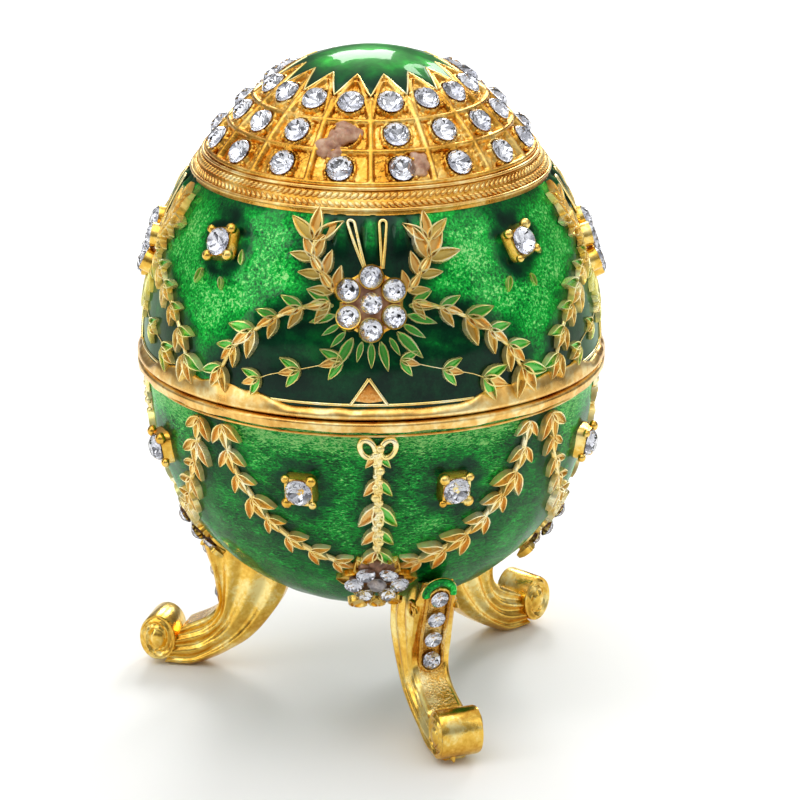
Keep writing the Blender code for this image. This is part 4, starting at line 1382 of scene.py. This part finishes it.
def side_curl(turn, side):
    """A little spiral that lies on the side of the leg near its top."""
    wind = np.linspace(0, 2.6 * np.pi, 34)
    reach = np.linspace(0.062, 0.014, 34)
    path = leg_at(turn, -0.055 + reach * np.cos(wind), 0.200 - reach * np.sin(wind),
                  side * (LEG_WIDTH / 2 + 0.02))
    return tube(path, np.linspace(0.26, 0.16, 34), 8)


def leg_frames(turn, first, pitch, count, lift):
    """Frames down the middle of a leg's outer face."""
    curve = leg_at(turn, *through(LEG_OUTER, 200).T, 0.0)
    gone = np.concatenate([[0], np.cumsum(np.linalg.norm(np.diff(curve, axis=0), axis=1))])
    frames = []
    for k in range(count):
        here, further = (np.array([np.interp(first + k * pitch + step, gone, curve[:, axis])
                                   for axis in range(3)]) for step in (0.0, 0.2))
        down = Vector(further - here).normalized()
        right = Vector(polar(1.0, turn + 90, 0.0)).normalized()
        out = right.cross(-down)
        frame = Matrix((right, -down, out)).transposed().to_4x4()
        frame.translation = Vector(here) + out * lift
        frames.append(frame)
    return frames


def arc(frame, degrees, wide, tall, up=0.0, lift=0.0):
    """Points of an arc that lies on a frame."""
    return [frame @ Vector((wide * math.cos(turned), up + tall * math.sin(turned), lift))
            for turned in np.radians(degrees)]


def channel_path(turn, lift):
    """The oval raised edge round a leg's stones."""
    half = LEG_STONE / 2 + 0.28
    frames = leg_frames(turn, LEG_FIRST_STONE, LEG_STONE_PITCH, LEG_STONES, lift)
    path = arc(frames[0], np.linspace(0, 180, 9), half, half)
    path += [frame @ Vector((-half, 0, 0)) for frame in frames[1:]]
    path += arc(frames[-1], np.linspace(200, 340, 7), half, half)
    path += [frame @ Vector((half, 0, 0)) for frame in frames[:0:-1]]
    return [p[:] for p in path]


def make_leg(name, turn):
    """One leg with its stippled face, side curls, raised channel, enamelled top edge and stones."""
    points, faces, marks = leg_body(turn)
    nub = tube(leg_at(turn, np.linspace(0.310, 0.345, 5), np.linspace(0.925, 0.985, 5), -0.6),
               np.array((0.75, 0.6, 0.42, 0.25, 0.08)), 8)
    all_points, all_faces = gather([(points, faces), leg_roll(turn), nub, side_curl(turn, -1),
                                    side_curl(turn, 1)])
    slots = [int(mark) for mark in marks] + [0] * (len(all_faces) - len(faces))
    settle(piece(name + "_scroll", all_points, all_faces, GILT, GILT_FACE, face_slots=slots), name)
    settle(piece(name + "_channel", *tube(channel_path(turn, 0.12), 0.24, 8, True), GILT_FACE))
    top = leg_frames(turn, 0.85, 1.0, 1, 0.05)[0]
    degrees = np.linspace(-12, 192, 17)
    points, faces = tube(arc(top, degrees, 1.55, 1.35, -0.65, 0.05), 0.48, 8)
    depth = np.full(len(points), 0.36)
    settle(piece(name + "_arch", points, faces, STIPPLED_ENAMEL, values={"depth": depth}),
           slot="green_enamel")
    settle(piece(name + "_arch_rim", *tube(arc(top, degrees, 1.95, 1.78, -0.75, -0.1), 0.17, 8), GILT))
    frames = leg_frames(turn, LEG_FIRST_STONE, LEG_STONE_PITCH, LEG_STONES, 0.48)
    settle(set_out(name + "_stones", CHATON, frames, LEG_STONE / 2, GLASS, FOIL),
           *(f"{name}_stone_{k + 1}" for k in range(LEG_STONES)), slot="cut_glass")


# The photograph's place, and the studio

def make_camera():
    """A long lens, raised about 18 degrees, that looks down on the seam."""
    distance, raised = 391.23, math.radians(17.6105)
    yaw, pitch, roll = (math.radians(a) for a in (-0.46048, -0.85528, -0.16130))
    stand = Vector((0, -distance * math.cos(raised), distance * math.sin(raised)))
    look = -stand.normalized()
    right = Vector((1, 0, 0))
    level_turn = Matrix.Rotation(yaw, 3, right.cross(look))
    look, right = level_turn @ look, level_turn @ right
    look = Matrix.Rotation(pitch, 3, right) @ look
    right = right * math.cos(roll) + right.cross(look) * math.sin(roll)
    data = bpy.data.cameras.new("camera")
    data.lens = 159.32
    data.sensor_width = 36
    data.clip_start = 0.01
    camera = bpy.data.objects.new("camera", data)
    camera.matrix_world = Matrix((right, right.cross(look), -look)).transposed().to_4x4()
    camera.location = (stand + Vector((0, 0, SEAM))) * MM
    bpy.context.scene.collection.objects.link(camera)
    bpy.context.scene.camera = camera


def soft_box(name, place, size, power):
    """A square area light that faces the egg. The place is in metres."""
    data = bpy.data.lights.new(name, "AREA")
    data.shape = "RECTANGLE"
    data.size, data.size_y = size
    data.energy = power
    light = bpy.data.objects.new(name, data)
    light.location = place
    middle = Vector((0, 0, 0.04))
    light.rotation_euler = (middle - Vector(place)).to_track_quat("-Z", "Y").to_euler()
    bpy.context.scene.collection.objects.link(light)


def make_studio():
    """A pale floor in a light tent: bright overhead, darker round the sides, with five soft boxes."""
    mesh = bpy.data.meshes.new("floor")
    reach = 6.0
    mesh.from_pydata([(-reach, -reach, 0), (reach, -reach, 0), (reach, reach, 0), (-reach, reach, 0)], [],
                     [(0, 1, 2, 3)])
    # A matt white sheet, so only the soft shadows of the feet show on it
    paper, tree, shader = material("white_paper")
    feed(tree, shader, {"Base Color": linear("#f6f6f4"), "Roughness": 0.8})
    mesh.materials.append(paper)
    floor = bpy.data.objects.new("floor", mesh)
    bpy.context.scene.collection.objects.link(floor)

    world = bpy.data.worlds.new("light tent")
    bpy.context.scene.world = world
    world.use_nodes = True
    tree = world.node_tree
    around = add(tree, "ShaderNodeTexCoord", out="Generated")
    height = add(tree, "ShaderNodeSeparateXYZ", {"Vector": around}, out="Z")
    scaled = add(tree, "ShaderNodeMapRange", {"Value": height, "From Min": -1.0, "From Max": 1.0})
    shade = ramp(tree, scaled, ((0.46, "#bdbdbd"), (0.53, "#626366"), (0.66, "#8e8f92"), (0.80, "#dcdcdc"),
                                (0.92, "#ffffff")))
    feed(tree, tree.nodes["Background"], {"Color": shade, "Strength": 0.95})

    soft_box("overhead", (-0.10, -0.16, 0.70), (0.80, 0.70), 2.0)
    soft_box("behind", (-0.02, 0.60, 0.40), (0.18, 0.22), 1.5)
    soft_box("behind_right", (0.24, 0.55, 0.42), (0.16, 0.26), 1.5)
    soft_box("left", (-0.66, -0.30, 0.30), (0.20, 0.50), 0.7)
    soft_box("right", (0.66, -0.30, 0.30), (0.20, 0.50), 0.35)
    bpy.context.scene.view_settings.view_transform = "Standard"


# The whole object

def build():
    """Make and place every visible piece, then take the templates out of the scene."""
    make_castings()
    make_top()
    make_garlands()
    make_drops()
    make_rays()
    make_hairpins_and_gables()
    make_rosettes("lid", UPPER_ROSETTE_AT, pitch=2.75, turn=90, stone=2.3, lift=1.02)
    make_rosettes("base", LOWER_ROSETTE_AT, pitch=2.45, turn=0, stone=2.1, lift=1.08)
    make_single_stones()
    for name, turn in LEG_TURNS.items():
        make_leg(name, turn)
    for part in TEMPLATES:
        bpy.data.objects.remove(part)


build()
make_camera()
make_studio()
